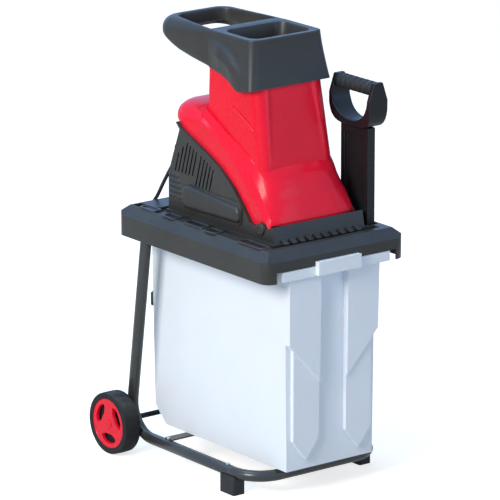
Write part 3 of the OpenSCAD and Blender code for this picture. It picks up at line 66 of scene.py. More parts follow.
class ShredderSizes(bpy.types.PropertyGroup):
    """Sizes that a user would change"""

    lead_diameter: FloatProperty(
        name="Lead diameter", description="Outer diameter of the mains lead",
        default=0.008, min=0.006, max=0.010, unit="LENGTH")
    camera_distance: FloatProperty(
        name="Camera distance", description="From the camera to the point it looks at",
        default=10.069, min=3.0, max=20.0, unit="LENGTH")
    camera_azimuth: FloatProperty(
        name="Camera azimuth", description="Turn of the camera about the upright axis",
        default=math.radians(-37.59), subtype="ANGLE")
    camera_elevation: FloatProperty(
        name="Camera elevation", description="Height of the camera above the horizon",
        default=math.radians(15.53), subtype="ANGLE")


def colour(label, default):
    """A colour property with its name and linear default."""
    return FloatVectorProperty(
        name=label, description=label + " of the machine", default=default,
        size=3, min=0.0, max=1.0, subtype="COLOR")


class ShredderColours(bpy.types.PropertyGroup):
    """Colours of the finishes, in linear light"""

    red_gloss: colour("Red cover", (0.72, 0.006, 0.026))
    dark_plastic: colour("Dark plastic", (0.029, 0.0275, 0.0245))
    black_plastic: colour("Black plastic", (0.010, 0.0105, 0.012))
    pale_plastic: colour("Pale bin", (0.73, 0.78, 0.86))
    tube_paint: colour("Tube paint", (0.032, 0.032, 0.029))
    tyre_rubber: colour("Tyre rubber", (0.017, 0.017, 0.0175))
    black_rubber: colour("Black rubber", (0.018, 0.018, 0.019))
    steel: colour("Steel", (0.55, 0.55, 0.56))
    plate_metal: colour("Zinc plate", (0.42, 0.43, 0.44))
    core_iron: colour("Laminated iron", (0.16, 0.16, 0.17))
    copper: colour("Copper wire", (0.62, 0.26, 0.12))
    green_button: colour("Green button", (0.03, 0.28, 0.06))
    red_button: colour("Red button", (0.55, 0.015, 0.02))


# Node helpers, and the node groups that the finishes share


def adjust(thing, **values):
    """Sets several values of a node, a data block or a modifier."""
    for label, value in values.items():
        setattr(thing, label, value)


def feed(tree, node, values):
    """Links or sets inputs of a node, by their names or numbers."""
    for label, value in values.items():
        if isinstance(value, bpy.types.NodeSocket):
            tree.links.new(value, node.inputs[label])
        else:
            node.inputs[label].default_value = value


def add_node(tree, kind, inputs, **settings):
    """A shader node with its settings made and its inputs fed."""
    node = tree.nodes.new("ShaderNode" + kind)
    adjust(node, **settings)
    feed(tree, node, inputs)
    return node


def add_math(tree, operation, first, second, clamp=False):
    """A math node fed by sockets or numbers."""
    return add_node(tree, "Math", {0: first, 1: second}, operation=operation, use_clamp=clamp).outputs[0]


def add_noise(tree, vector, scale, detail, rough):
    """A noise texture on a vector socket."""
    inputs = {"Vector": vector, "Scale": scale, "Detail": detail, "Roughness": rough}
    return add_node(tree, "TexNoise", inputs).outputs["Fac"]


def add_ramp(tree, value, low, high):
    """Value mapped from low..high to 0..1 and clamped."""
    inputs = {"Value": value, "From Min": low, "From Max": high}
    return add_node(tree, "MapRange", inputs).outputs["Result"]


def add_patches(tree, vector, scale, detail, rough, low, high):
    """A noise texture with its values from low to high spread over 0..1."""
    return add_ramp(tree, add_noise(tree, vector, scale, detail, rough), low, high)


def moulded_grain(group, entry, where):
    """Fine spark-eroded grain, slow colour drift and a roughness drift."""
    return {"Height": add_noise(group, where, entry["Grain Scale"], 3.0, 0.6),
            "Drift": add_patches(group, where, entry["Drift Scale"], 4.0, 0.55, 0.3, 0.7),
            "Smear": add_patches(group, where, 38.0, 5.0, 0.65, 0.35, 0.75)}


def edge_wear(group, entry, where):
    """Mask that is high on rubbed outer edges, broken up by noise."""
    rounded = add_node(group, "Bevel", {"Radius": entry["Radius"]}, samples=4).outputs["Normal"]
    plain = add_node(group, "NewGeometry", {}).outputs["Normal"]
    dot = add_node(group, "VectorMath", {0: rounded, 1: plain}, operation="DOT_PRODUCT")
    bent = add_ramp(group, add_math(group, "SUBTRACT", 1.0, dot.outputs["Value"]), 0.03, 0.22)
    patchy = add_patches(group, where, entry["Breakup"], 4.0, 0.6, 0.35, 0.65)
    return {"Mask": add_math(group, "MULTIPLY", bent, patchy, clamp=True)}


def settled_dust(group, entry, where):
    """Mask of dust that lies on faces that look up, in patches."""
    normal = add_node(group, "NewGeometry", {}).outputs["Normal"]
    split = add_node(group, "SeparateXYZ", {0: normal})
    upward = add_ramp(group, split.outputs["Z"], 0.35, 1.0)
    patchy = add_patches(group, where, entry["Patch Scale"], 6.0, 0.65, 0.42, 0.78)
    return {"Mask": add_math(group, "MULTIPLY", upward, patchy, clamp=True)}


def drawn_lines(group, entry, where):
    """Fine lines left on metal by rolling, turning or brushing."""
    lines = add_node(group, "Mapping", {"Vector": where, "Scale": (1.0, 26.0, 26.0)}).outputs["Vector"]
    return {"Height": add_noise(group, lines, entry["Line Scale"], 5.0, 0.6),
            "Drift": add_patches(group, where, 16.0, 4.0, 0.6, 0.3, 0.7)}


# Shared groups: the function that makes the outputs, and the inputs with their defaults
GROUPS = {
    "moulded_grain": (moulded_grain, {"Grain Scale": 900.0, "Drift Scale": 9.0}),
    "edge_wear": (edge_wear, {"Radius": 0.0015, "Breakup": 60.0}),
    "settled_dust": (settled_dust, {"Patch Scale": 22.0}),
    "drawn_lines": (drawn_lines, {"Line Scale": 30.0}),
}


def make_group(name):
    """A shader node group with named float sockets."""
    maker, inputs = GROUPS[name]
    group = bpy.data.node_groups.new(name, "ShaderNodeTree")
    for label, default in inputs.items():
        socket = group.interface.new_socket(label, in_out="INPUT", socket_type="NodeSocketFloat")
        socket.default_value = default
    entry = group.nodes.new("NodeGroupInput").outputs
    outputs = maker(group, entry, add_node(group, "TexCoord", {}).outputs["Object"])
    for label in outputs:
        group.interface.new_socket(label, in_out="OUTPUT", socket_type="NodeSocketFloat")
    feed(group, group.nodes.new("NodeGroupOutput"), outputs)
    return group


def place_group(tree, name, inputs):
    """The shared group, built once, placed with this finish's own inputs."""
    group = bpy.data.node_groups.get(name) or make_group(name)
    return add_node(tree, "Group", inputs, node_tree=group)


DUST_COLOUR = (0.42, 0.40, 0.36, 1.0)
WEAR_PALENESS, GRAIN_DEPTH = 0.45, 0.0006
# Inputs that every finish has unless its own row says otherwise
SHADER_INPUTS = {"Coat Roughness": 0.08, "Specular IOR Level": 0.35, "Subsurface Scale": 0.01}
# Roughness range, scale of the grain or lines, bump, colour drift, wear, dust and further inputs
FINISHES = {
    "red_gloss": ((0.24, 0.34), 420.0, 0.015, 0.06, 0.03, 0.0,
                  {"Coat Weight": 0.10, "Specular IOR Level": 0.17}),
    "dark_plastic": ((0.34, 0.46), 1100.0, 0.14, 0.14, 0.14, 0.04, {"Specular IOR Level": 0.34}),
    "black_plastic": ((0.32, 0.44), 1200.0, 0.12, 0.16, 0.14, 0.02, {"Specular IOR Level": 0.26}),
    "pale_plastic": ((0.32, 0.44), 800.0, 0.06, 0.012, 0.05, 0.02, {"Subsurface Weight": 0.06}),
    "tube_paint": ((0.28, 0.40), 700.0, 0.08, 0.14, 0.22, 0.05, {"Coat Weight": 0.25}),
    "tyre_rubber": ((0.66, 0.82), 1000.0, 0.25, 0.20, 0.12, 0.22, {"Specular IOR Level": 0.18}),
    "black_rubber": ((0.58, 0.74), 1000.0, 0.20, 0.18, 0.10, 0.10, {}),
    "green_button": ((0.30, 0.42), 900.0, 0.08, 0.08, 0.10, 0.03, {}),
    "red_button": ((0.30, 0.42), 900.0, 0.08, 0.08, 0.10, 0.03, {}),
    "steel": ((0.26, 0.42), 30.0, 0.05, 0.18, 0.20, 0.03, {"Metallic": 1.0}),
    "plate_metal": ((0.34, 0.52), 22.0, 0.07, 0.24, 0.16, 0.05, {"Metallic": 1.0}),
    "core_iron": ((0.46, 0.62), 70.0, 0.12, 0.22, 0.20, 0.02, {"Metallic": 0.9}),
    "copper": ((0.26, 0.40), 60.0, 0.14, 0.20, 0.10, 0.0, {"Metallic": 1.0}),
}


def mix_colour(tree, factor, first, second):
    """Mix of two colours by a factor socket."""
    node = add_node(tree, "Mix", {"Factor": factor}, data_type="RGBA")
    places = [k for k, socket in enumerate(node.inputs) if socket.type == "RGBA"]
    feed(tree, node, dict(zip(places, (first, second))))
    return next(socket for socket in node.outputs if socket.type == "RGBA")


def shade(base, factor):
    """Base colour made lighter or darker, with alpha."""
    return tuple(min(1.0, c * factor) for c in base) + (1.0,)


def finish(name):
    """The procedural material of one finish, built on first use."""
    label = name + "_finish"
    material = bpy.data.materials.get(label)
    if material:
        return material
    (low, high), scale, bump, drift, wear, dust, more = FINISHES[name]
    base = tuple(getattr(bpy.context.scene.shredder_colours, name))
    material = bpy.data.materials.new(label)
    material.use_nodes = True
    tree = material.node_tree
    if "Metallic" in more:
        grain = place_group(tree, "drawn_lines", {"Line Scale": scale})
        smear = grain.outputs["Drift"]
    else:
        grain = place_group(tree, "moulded_grain", {"Grain Scale": scale})
        smear = grain.outputs["Smear"]
    tint = mix_colour(tree, grain.outputs["Drift"], shade(base, 1 - drift), shade(base, 1 + drift))
    worn = add_math(tree, "MULTIPLY", place_group(tree, "edge_wear", {}).outputs["Mask"], wear)
    pale = tuple(c + (1.0 - c) * WEAR_PALENESS for c in base) + (1.0,)
    tint = mix_colour(tree, worn, tint, pale)
    dusty = add_math(tree, "MULTIPLY", place_group(tree, "settled_dust", {}).outputs["Mask"], dust)
    rough = add_math(tree, "ADD", add_math(tree, "MULTIPLY", smear, high - low), low)
    relief = add_node(tree, "Bump", {"Strength": bump, "Distance": GRAIN_DEPTH,
                                     "Height": grain.outputs["Height"]})
    feed(tree, tree.nodes["Principled BSDF"], {
        "Base Color": mix_colour(tree, dusty, tint, DUST_COLOUR),
        "Roughness": add_math(tree, "ADD", rough, dusty, clamp=True),
        "Normal": relief.outputs["Normal"], **SHADER_INPUTS, **more})
    return material


# Object and mesh helpers; points are in millimetres


def add_object(name, data):
    """A new object in the scene."""
    made = bpy.data.objects.new(name, data)
    bpy.context.scene.collection.objects.link(made)
    return made


def ramp(value, low, high):
    """Share of the way from low to high, kept within 0 and 1."""
    return max(0.0, min(1.0, (value - low) / (high - low)))


def ease(share):
    """Share with a soft start and a soft end."""
    return share * share * (3 - 2 * share)


def arc(cx, cy, radius, begin, end, steps):
    """Points of an arc between two angles in degrees, with both ends."""
    turns = [math.radians(begin + (end - begin) * k / steps) for k in range(steps + 1)]
    return [(cx + radius * math.cos(turn), cy + radius * math.sin(turn)) for turn in turns]


def between(first, second, steps):
    """Points on the line between two points, in equal steps, without its ends."""
    (x0, y0), (x1, y1) = first, second
    return [(x0 + (x1 - x0) * k / steps, y0 + (y1 - y0) * k / steps) for k in range(1, steps)]


def mirrored(line):
    """The points of a line from its last to its first, on the other side."""
    return [(-x, *rest) for x, *rest in reversed(line)]


def signed_power(value, power):
    """Power of a value's size, with the value's sign."""
    return math.copysign(abs(value) ** power, value)


def join_parts(parts):
    """One list of points and faces from several."""
    points, faces = [], []
    for more_points, more_faces in parts:
        base = len(points)
        points += more_points
        faces += [tuple(i + base for i in face) for face in more_faces]
    return points, faces


def both_sides(maker, *values):
    """The part that a function makes for the left side and for the right side."""
    return [maker(side, *values) for side in (-1, 1)]


def new_piece(name, parts, material, body, nodes=(), smooth=30.0, bevel=(), crease=None, settle=None):
    """A mesh object from parts in millimetres, smooth below the angle, riding on a body."""
    points, faces = join_parts(parts)
    mesh = bpy.data.meshes.new(name)
    mesh.from_pydata([Vector(p) * MM for p in points], [], faces)
    work = bmesh.new()
    work.from_mesh(mesh)
    bmesh.ops.remove_doubles(work, verts=work.verts, dist=1e-6)
    bmesh.ops.recalc_face_normals(work, faces=work.faces)
    work.to_mesh(mesh)
    work.free()
    mesh.shade_smooth()
    mesh.set_sharp_from_angle(angle=math.radians(smooth))
    if crease:
        on_line = [crease(*(v.co / MM)) for v in mesh.vertices]
        for edge in mesh.edges:
            first, second = edge.vertices
            if on_line[first] and on_line[first] == on_line[second]:
                edge.use_edge_sharp = True
    if settle:
        for vertex in mesh.vertices:
            vertex.co = Vector(settle(*(vertex.co / MM))) * MM
    piece = add_object(name, mesh)
    mesh.materials.append(finish(material))
    if bevel:
        add_bevel(piece, *bevel)
    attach(piece, body)
    if nodes:
        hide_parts(*nodes)
    return piece


def add_bevel(piece, width, segments=2, angle=35.0):
    """Rounds the hard edges of a piece, width in metres."""
    adjust(piece.modifiers.new("rounded_edges", "BEVEL"), width=width, segments=segments,
           limit_method="ANGLE", angle_limit=math.radians(angle), harden_normals=True,
           use_clamp_overlap=True)


def dress(node, material, bevel):
    """Gives a CAD node its finish and rounds its hard edges, bevel in millimetres."""
    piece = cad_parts[node]
    piece.data.materials.clear()
    piece.data.materials.append(finish(material))
    adjust(piece.modifiers.new("joined_corners", "WELD"), merge_threshold=1e-6)
    add_bevel(piece, bevel * MM)


def skin(rows, closed=True, caps=0, lift=TRAY_TOP):
    """Points and quads over rows of equal length, raised by lift.

    Closed joins each row's ends; one cap fills the last row, two fill the first one too.
    """
    length, last = len(rows[0]), len(rows) - 1
    faces = []
    for a in range(0, last * length, length):
        for c in range(length if closed else length - 1):
            n = (c + 1) % length
            faces.append((a + c, a + n, a + length + n, a + length + c))
    if caps == 2:
        faces.append(tuple(range(length)))
    if caps:
        end = tuple(range(last * length, (last + 1) * length))
        faces.append(end[::-1] if caps == 2 else end)
    return [(x, y, z + lift) for row in rows for x, y, z in row], faces


def interpolate(table, at):
    """Straight-line value of a table of (position, value) sorted by position."""
    if at <= table[0][0]:
        return table[0][1]
    for (p, v), (q, w) in zip(table, table[1:]):
        if at <= q:
            return v + (w - v) * (at - p) / (q - p)
    return table[-1][1]


# Stage, in metres and watts

CAMERA_TARGET, CAMERA_LENS = (0.0, 0.0144, 0.4782), 331.4
LAMP_TARGET = (0.0, 0.0, 0.45)
# Lamps: name, place, width, power and tint
LAMPS = [
    ("key_lamp", (-5.4, -1.5, 3.4), 2.4, 345.0, (1.0, 0.96, 0.905)),
    ("front_lamp", (2.2, -6.0, 2.4), 3.4, 64.0, (0.50, 0.72, 1.0)),
    ("top_lamp", (-0.6, 0.8, 5.2), 3.0, 190.0, (0.36, 0.68, 1.0)),
]
WHITE, FLOOR_GREY = (1.0, 1.0, 1.0, 1.0), (0.62, 0.62, 0.62, 1.0)
MIRRORED_SKY = (0.60, 0.95, 1.60, 1.0)
FLOOR_HALF = 40.0
# Glow that keeps the floor white to the camera, and the part of it that mirrored rays see
FLOOR_GLOW, MIRRORED_GLOW = 0.70, 0.38
SOFT_LEVEL = 0.30


class SHREDDER_OT_stage(bpy.types.Operator):
    """Make the camera, the floor, the lamps and the white surroundings"""

    bl_idname = "shredder.stage"
    bl_label = "Stage"

    def execute(self, context):
        size = context.scene.shredder_sizes
        azimuth, elevation = size.camera_azimuth, size.camera_elevation
        back = Vector((math.sin(azimuth) * math.cos(elevation),
                       -math.cos(azimuth) * math.cos(elevation), math.sin(elevation)))
        camera = bpy.data.cameras.new("photo_camera")
        adjust(camera, lens=CAMERA_LENS, sensor_width=36.0, clip_end=100.0)
        place = Vector(CAMERA_TARGET) + back * size.camera_distance
        context.scene.camera = self.aimed("photo_camera", camera, place, -back)
        context.scene.view_settings.view_transform = "Standard"
        for name, place, width, power, tint in LAMPS:
            lamp = bpy.data.lights.new(name, "AREA")
            adjust(lamp, shape="SQUARE", size=width, energy=power, color=tint)
            self.aimed(name, lamp, place, Vector(LAMP_TARGET) - Vector(place))
        self.floor()
        self.surroundings(context)
        return {"FINISHED"}

    def aimed(self, name, data, place, direction):
        """A camera or lamp at a place, looking in a direction."""
        holder = add_object(name, data)
        adjust(holder, location=place, rotation_mode="QUATERNION",
               rotation_quaternion=direction.to_track_quat("-Z", "Y"))
        return holder

    def seen(self, tree, glossy_part=1.0):
        """Socket that is 1 for rays that show the background, and glossy_part for mirrored ones."""
        path = add_node(tree, "LightPath", {}).outputs
        glossy = add_math(tree, "MULTIPLY", path["Is Glossy Ray"], glossy_part)
        both = add_math(tree, "ADD", path["Is Camera Ray"], glossy)
        return add_math(tree, "ADD", both, path["Is Transmission Ray"], clamp=True)

    def floor(self):
        """A pale floor that stays white apart from the object's shadow."""
        mesh = bpy.data.meshes.new("floor")
        corners = [(-1, -1), (1, -1), (1, 1), (-1, 1)]
        mesh.from_pydata([(FLOOR_HALF * x, FLOOR_HALF * y, 0.0) for x, y in corners], [], [(0, 1, 2, 3)])
        plane = add_object("floor", mesh)
        material = bpy.data.materials.new("pale_floor")
        material.use_nodes = True
        tree = material.node_tree
        glow = add_math(tree, "MULTIPLY", self.seen(tree, MIRRORED_GLOW), FLOOR_GLOW)
        feed(tree, tree.nodes["Principled BSDF"], {
            "Base Color": FLOOR_GREY, "Roughness": 0.9, "Specular IOR Level": 0.0,
            "Emission Color": WHITE, "Emission Strength": glow})
        mesh.materials.append(material)

    def surroundings(self, context):
        """White to the camera, a blue sky to mirrored rays, a plain soft level to the rest."""
        world = bpy.data.worlds.new("studio")
        context.scene.world = world
        world.use_nodes = True
        tree = world.node_tree
        glossy = add_node(tree, "LightPath", {}).outputs["Is Glossy Ray"]
        rise = add_math(tree, "MULTIPLY", self.seen(tree), 1.0 - SOFT_LEVEL)
        feed(tree, tree.nodes["Background"], {
            "Color": mix_colour(tree, glossy, WHITE, MIRRORED_SKY),
            "Strength": add_math(tree, "ADD", rise, SOFT_LEVEL)})


class SHREDDER_OT_lead(bpy.types.Operator):
    """Make the mains lead that hangs behind the tray, with its plug"""

    bl_idname = "shredder.lead"
    bl_label = "Mains lead"

    def execute(self, context):
        diameter = context.scene.shredder_sizes.lead_diameter
        curve = bpy.data.curves.new("mains_lead_sheath", "CURVE")
        adjust(curve, dimensions="3D", bevel_depth=diameter / 2, bevel_resolution=5, use_fill_caps=True)
        spline = curve.splines.new("POLY")
        spline.points.add(len(LEAD_ROUTE) - 1)
        for point, place in zip(spline.points, LEAD_ROUTE):
            point.co = (*place, 1.0)
        spline.use_smooth = True
        lead = add_object("mains_lead_sheath", curve)
        curve.materials.append(finish("black_rubber"))
        dress("plug_body", "black_rubber", 3.0)
        dress("plug_pins", "steel", 0.6)
        dress("cord_gland", "black_rubber", 0.8)
        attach(lead, "stand")
        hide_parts("mains_lead")
        return {"FINISHED"}


# Upper cover, heights over the tray's top in millimetres

COVER_X, CREASE_X = 115.5, 108.5
# Skirt beside and before the tower: along, crease height, forward bow in the middle, collar rise
COVER_ROWS = [
    (38, 225, 0, 20), (26.5, 219, 0, 17.5), (9.5, 210, 1, 17), (-8, 201, 3, 15.5),
    (-26.5, 192, 6, 14), (-44, 182.5, 10, 14), (-62.5, 173, 15, 14), (-80, 161, 21, 14),
    (-97.5, 149, 28, 14), (-110, 140, 33, 13), (-122, 131, 37, 10), (-128, 127, 40, 6),
    (-134, 121.5, 41.5, 3), (-140, 115, 40, 1), (-147, 108, 37.5, 0), (-153.5, 102, 34, 0),
    (-160.5, 94, 30, 0), (-167.5, 86, 26, 0), (-176, 77, 22.5, 0), (-184.5, 67, 19, 0),
    (-194, 54, 15.5, 0), (-202.5, 41, 12, 0), (-203.5, 35, 11, 0),
]
# Domed rear: along, half-width, wall height, top height, shoulder rounding
REAR_ROWS = [
    (151.5, 58, 213, 216, 8), (151, 70, 213, 226, 22), (149, 82, 212, 234, 34),
    (145, 92, 211, 240, 44), (138, 101.5, 210, 244, 50), (129, 108.5, 209, 246, 52),
    (118, 113, 208.5, 246.5, 52), (105, 115.5, 208, 246, 50), (90, 115.5, 208, 245, 44),
    (74, 115.5, 209, 242, 36), (60, 115.5, 211, 238, 27), (50, 115.5, 213, 234, 18),
    (44, 115.5, 215, 231, 12), (40.5, 115.5, 217, 228, 7),
]
# Upper edge of the skirt's flat side band, and its parting line to the base housing
BAND_TOP = [(-205, 30), (-199, 26), (-194, 36), (-188, 39.9), (-182, 41), (-154, 74), (-133, 89),
            (-105, 116), (-56, 168), (-20, 186), (26, 213.5), (38, 219)]
PARTING = [(-205, 30), (-199, 24), (-194, 36), (-188, 39.9), (-182, 41), (-176, 39.9), (-170, 36),
           (-165, 25), (-156, 25), (-142, 31), (-116, 61), (-82, 95), (-38, 129), (5, 150),
           (48, 168), (92, 186), (120, 201), (152, 212)]
TOWER_TOP, TOWER_FOOT, TOWER_REAR = 352.0, 131.0, 44.0
# At the tower's top: front, half-width, half-width of the front panel, and what each gains downward
TOWER_FRONT, TOWER_HALF, PANEL_HALF = (-118.0, -40.0), (87.5, 7.0), (54.0, 23.0)
REAR_ROUND, FRONT_ROUND = 14.0, 27.0
# Depth of the front panel's dish, its blend on both sides, and how far behind the front it reaches
PANEL_DISH, PANEL_BLEND, PANEL_REACH = 1.6, 7.0, 24.0
# Height of the plan that the tower's foot follows, and steps from the foot to the top
TOWER_PLAN, TOWER_LEVELS = 200.0, 30
# Collar: the tower's lap below it, where it ends on the tower and on the skirt, and its inner edge
COLLAR_LAP, COLLAR_FRONT, COLLAR_END, COLLAR_EDGE = 9.0, -118.0, -122.0, 0.9
# Where the creases end, and how near a point on a crease or on the side band's edge is to its line
CREASE_REAR, NEAR_CREASE, NEAR_BAND = 40.0, 0.02, 0.3
# The skirt is open under the tower: half-width, front and rear of the opening
TOWER_OPENING = (85.0, -146.0, 39.0)
# Where the settled shape begins to differ and where it differs fully: by height, along and across
SETTLE_RISE, SETTLE_AHEAD, SETTLE_FOOT, SETTLE_INSIDE = (60, 150), (-40, -100), (-150, -180), (112, 94)
SETTLE_BEHIND, SETTLE_BEHIND_END = (10, 40), (60, 45)
# Share by which the tower and the foot widen, and shifts of the rear, front, tower's front and foot
TOWER_WIDEN, FOOT_WIDEN = 0.045, 0.02
REAR_SHIFT, FRONT_SHIFT, TOWER_SHIFT, FOOT_DROP = 3.0, 2.5, 3.5, 1.5
# Flank rib: along and height of its ends, and its half-width and stand-out
RIB_ENDS, RIB_R = ((-41.0, 263.0), (-119.0, 221.0)), 6.5


def tower_share(height):
    """Share of the way down the tower."""
    return (TOWER_TOP - height) / (TOWER_TOP - TOWER_FOOT)


def tower_half(height):
    """Half-width of the tower at a height."""
    return TOWER_HALF[0] + TOWER_HALF[1] * tower_share(height)


def tower_section(height):
    """Outline of the tower at a height: flat front panel, round corners, flat rear."""
    share, wide = tower_share(height), tower_half(height)
    front = TOWER_FRONT[0] + TOWER_FRONT[1] * share
    panel = PANEL_HALF[0] + PANEL_HALF[1] * share ** 1.3
    right = arc(wide - REAR_ROUND, TOWER_REAR - REAR_ROUND, REAR_ROUND, 90, 0, 10)
    right += arc(wide - FRONT_ROUND, front + FRONT_ROUND, FRONT_ROUND, 0, -90, 10)
    left = mirrored(right)
    ring = right + between(right[-1], left[0], 48) + left + between(left[-1], right[0], 10)
    dish = [PANEL_DISH * ease(ramp(panel - abs(x), -PANEL_BLEND, PANEL_BLEND)) for x, _ in ring]
    return [(x, y + deep if y < front + PANEL_REACH else y) for (x, y), deep in zip(ring, dish)]


def crease_height(along):
    """Height of the collar's top beside the tower."""
    table = sorted((y, z + rise) for y, z, _, rise in COVER_ROWS if y >= COLLAR_END)
    return interpolate(table, along)


def side_band(wide, y, low, high):
    """Left band of a cross-section of the skirt."""
    return [(-wide + 0.6, y, low), (-wide, y, (low + high) / 2), (-wide, y, high)]


def rear_line(row, spread):
    """Cross-section of the domed rear of the skirt."""
    y, wide, wall, top, rounding = row
    line = side_band(wide, y, interpolate(PARTING, y), wall)
    for s in spread:
        x = wide * s
        past = max(0.0, abs(x) - (wide - rounding)) / rounding
        line.append((x, y, wall + (top - wall) * math.sqrt(max(0.0, 1 - past * past))))
    return line + mirrored(line[:3])


def front_line(row, spread):
    """Cross-section of the skirt beside and before the tower."""
    y, z, bow, rise = row
    low = min(interpolate(PARTING, y), z)
    top = max(min(interpolate(BAND_TOP, y), z - 0.4), low)
    line = side_band(COVER_X, y, low, top)
    for s in spread:
        up = rise * ramp(abs(s), 1.0, COLLAR_EDGE)
        line.append((CREASE_X * s, y - bow * (1 - abs(s) ** 5), z + up))
    return line + mirrored(line[:3])


def cover_skirt():
    """Points and faces of the skirt: side bands, collar, domed rear and front flare."""
    spread = [-1.0, -0.985, -0.97, -0.935, -0.9, -0.86, -0.8, -0.7, -0.55, -0.4, -0.2]
    spread += [0.0] + [-s for s in reversed(spread)]
    lines = [rear_line(row, spread) for row in REAR_ROWS]
    for first, second in zip(COVER_ROWS, COVER_ROWS[1:]):
        for k in range(2):
            lines.append(front_line([a + (b - a) * k / 2 for a, b in zip(first, second)], spread))
    lines.append(front_line(COVER_ROWS[-1], spread))
    points, faces = skin(lines, closed=False)
    half, front, rear = TOWER_OPENING
    kept = []
    for face in faces:
        x, y = (sum(points[i][axis] for i in face) / 4 for axis in (0, 1))
        if not (abs(x) < half and front < y < rear):
            kept.append(face)
    return points, kept


def cover_tower():
    """Points and faces of the tower, from the collar to the hopper."""
    rows = [[] for _ in range(TOWER_LEVELS + 1)]
    for index, (_, along) in enumerate(tower_section(TOWER_PLAN)):
        foot = (crease_height(along) if along > COLLAR_FRONT else TOWER_FOOT) - COLLAR_LAP
        for k, row in enumerate(rows):
            height = foot + (TOWER_TOP - foot) * k / TOWER_LEVELS
            row.append((*tower_section(height)[index], height))
    return skin(rows)


def cover_rib(side):
    """Raised bar that runs down a flank of the tower."""
    (y0, z0), (y1, z1) = RIB_ENDS
    length, steps = math.hypot(y1 - y0, z1 - z0), 14
    rows = []
    for k in range(steps + 1):
        share, row = k / steps, []
        swell = RIB_R * math.sqrt(max(0.05, 1 - abs(2 * share - 1) ** 6))
        for out, off in arc(0.0, 0.0, swell, -90, 90, 8):
            y = y0 + (y1 - y0) * share + (z0 - z1) / length * off
            z = z0 + (z1 - z0) * share + (y1 - y0) / length * off
            row.append((side * (tower_half(z) - 0.8 + out), y, z))
        rows.append(row)
    return skin(rows, closed=False)


def cover_crease(x, y, z):
    """Number of the skirt's crease line that a point is on, or 0."""
    wide, height = abs(x), z - TRAY_TOP
    if y > CREASE_REAR:
        return 0
    if abs(wide - COVER_X) < NEAR_CREASE and abs(height - interpolate(BAND_TOP, y)) < NEAR_BAND:
        return 1
    if abs(wide - CREASE_X) < NEAR_CREASE:
        return 2
    return 3 if abs(wide - COLLAR_EDGE * CREASE_X) < NEAR_CREASE else 0


def settle_cover(x, y, z):
    """Widens the tower a little and brings its front forward, fading out at the skirt's edge."""
    rise = ramp(z - TRAY_TOP, *SETTLE_RISE)
    ahead = ramp(y, *SETTLE_AHEAD)
    behind = ramp(y, *SETTLE_BEHIND) * ramp(y, *SETTLE_BEHIND_END)
    inside = ramp(abs(x), *SETTLE_INSIDE)
    foot = ramp(y, *SETTLE_FOOT) * (1 - rise)
    return (x * (1 + TOWER_WIDEN * rise * inside + FOOT_WIDEN * foot),
            y + REAR_SHIFT * rise * behind * inside - (FRONT_SHIFT + TOWER_SHIFT * rise) * ahead,
            z - FOOT_DROP * foot)


class SHREDDER_OT_cover(bpy.types.Operator):
    """Make the red cover: skirt, shoulder, tower with its front panel, flank ribs and flare"""

    bl_idname = "shredder.cover"
    bl_label = "Upper cover"

    def execute(self, context):
        cover = new_piece("cover_shell", [cover_skirt(), cover_tower()], "red_gloss", "cover",
                          ["upper_cover"], 24.0, crease=cover_crease, settle=settle_cover)
        adjust(cover.modifiers.new("wall", "SOLIDIFY"), thickness=0.003, offset=-1.0)
        add_bevel(cover, 0.0007, 2, 40.0)
        new_piece("cover_flank_ribs", both_sides(cover_rib), "red_gloss", "cover", smooth=40.0,
                  settle=settle_cover)
        return {"FINISHED"}


# Hopper with its carrying loop

HOPPER_TOP = 419.0
# Lower edge of the hopper's flank and of the loop: along, height
HOPPER_EDGE = [(-134, 314), (-127, 313), (-104, 308), (-92, 305), (-80, 305.5), (-66, 311),
               (-48, 321), (-28, 327.5), (-10, 331), (33, 337), (97, 345), (150, 354), (172, 361),
               (200, 372), (228, 377)]
# Soft ridge that runs down the flank to the front corner: along, height
FLANK_RIDGE = [(-125, 314), (-119, 322), (-101, 339), (-77, 360), (-49, 379), (-13, 394), (40, 402)]
# Half-width, front and rear of the mouth
MOUTH = (80.0, -104.0, 6.0)
# Half-width and front of the hopper at its rim and at its lower edge
RIM_EDGE, FOOT_EDGE = (98.0, -119.5), (112.0, -133.0)
# Lines of the hand hole and of the loop's outside: half-width where the line begins and at the rear,
# where it begins, its rear, its corner radius, and the power by which it narrows
HAND_HOLE = (89.0, 70.0, 28.0, 195.0, 28.0, 1.4)
LOOP_OUTSIDE = (RIM_EDGE[0], 97.0, 16.0, 230.0, 44.0, 1.0)
# Of the loop: depth of its slim wall, flat part of its top, drop of its outside, each with its gain
LOOP_SLIM, LOOP_FLAT, LOOP_DROP = (28.0, 60.0), (0.45, -0.2), (5.0, 23.0)
# The rim between the mouth and the hand hole: half-width and the hole's front
BRIDGE_HALF, BRIDGE_FRONT = HAND_HOLE[0] + 2.0, HAND_HOLE[2] + 10.0
# The wall: far end of its plan, where it is cut off, how much narrower its foot gets, and its rows
WALL_FAR, WALL_END, WALL_NARROW, WALL_LEVELS = 120.0, 36.0, 14.0, 40
# Least half-width that counts as flank, rounding of the upper edge with its gain, power of the flare
FLANK_HALF, EDGE_ROUND, WALL_FLARE = 80.0, (3.0, 6.0), 1.25
# Lip under the wall: inward and up, and the half-width and front past which it turns inward
LIP, LIP_HALF, LIP_FRONT = ((4.0, 0.5), (10.0, 26.0)), 70.0, -95.0
# Stand-out of the ridge, its blend above and below, and where it fades: over the foot and along
RIDGE_OUT, RIDGE_BLEND, RIDGE_FOOT, RIDGE_FRONT, RIDGE_REAR = 9.0, 8.0, 36.0, (-100, -60), (34, -11)
# Where along it the wall gets narrower, its edge rounder, and the loop slimmer and rounder
NARROW_ALONG, EDGE_ALONG, SLIM_ALONG, ROUND_ALONG = (-90, 40), (2, 34), (150, 60), (20, 110)
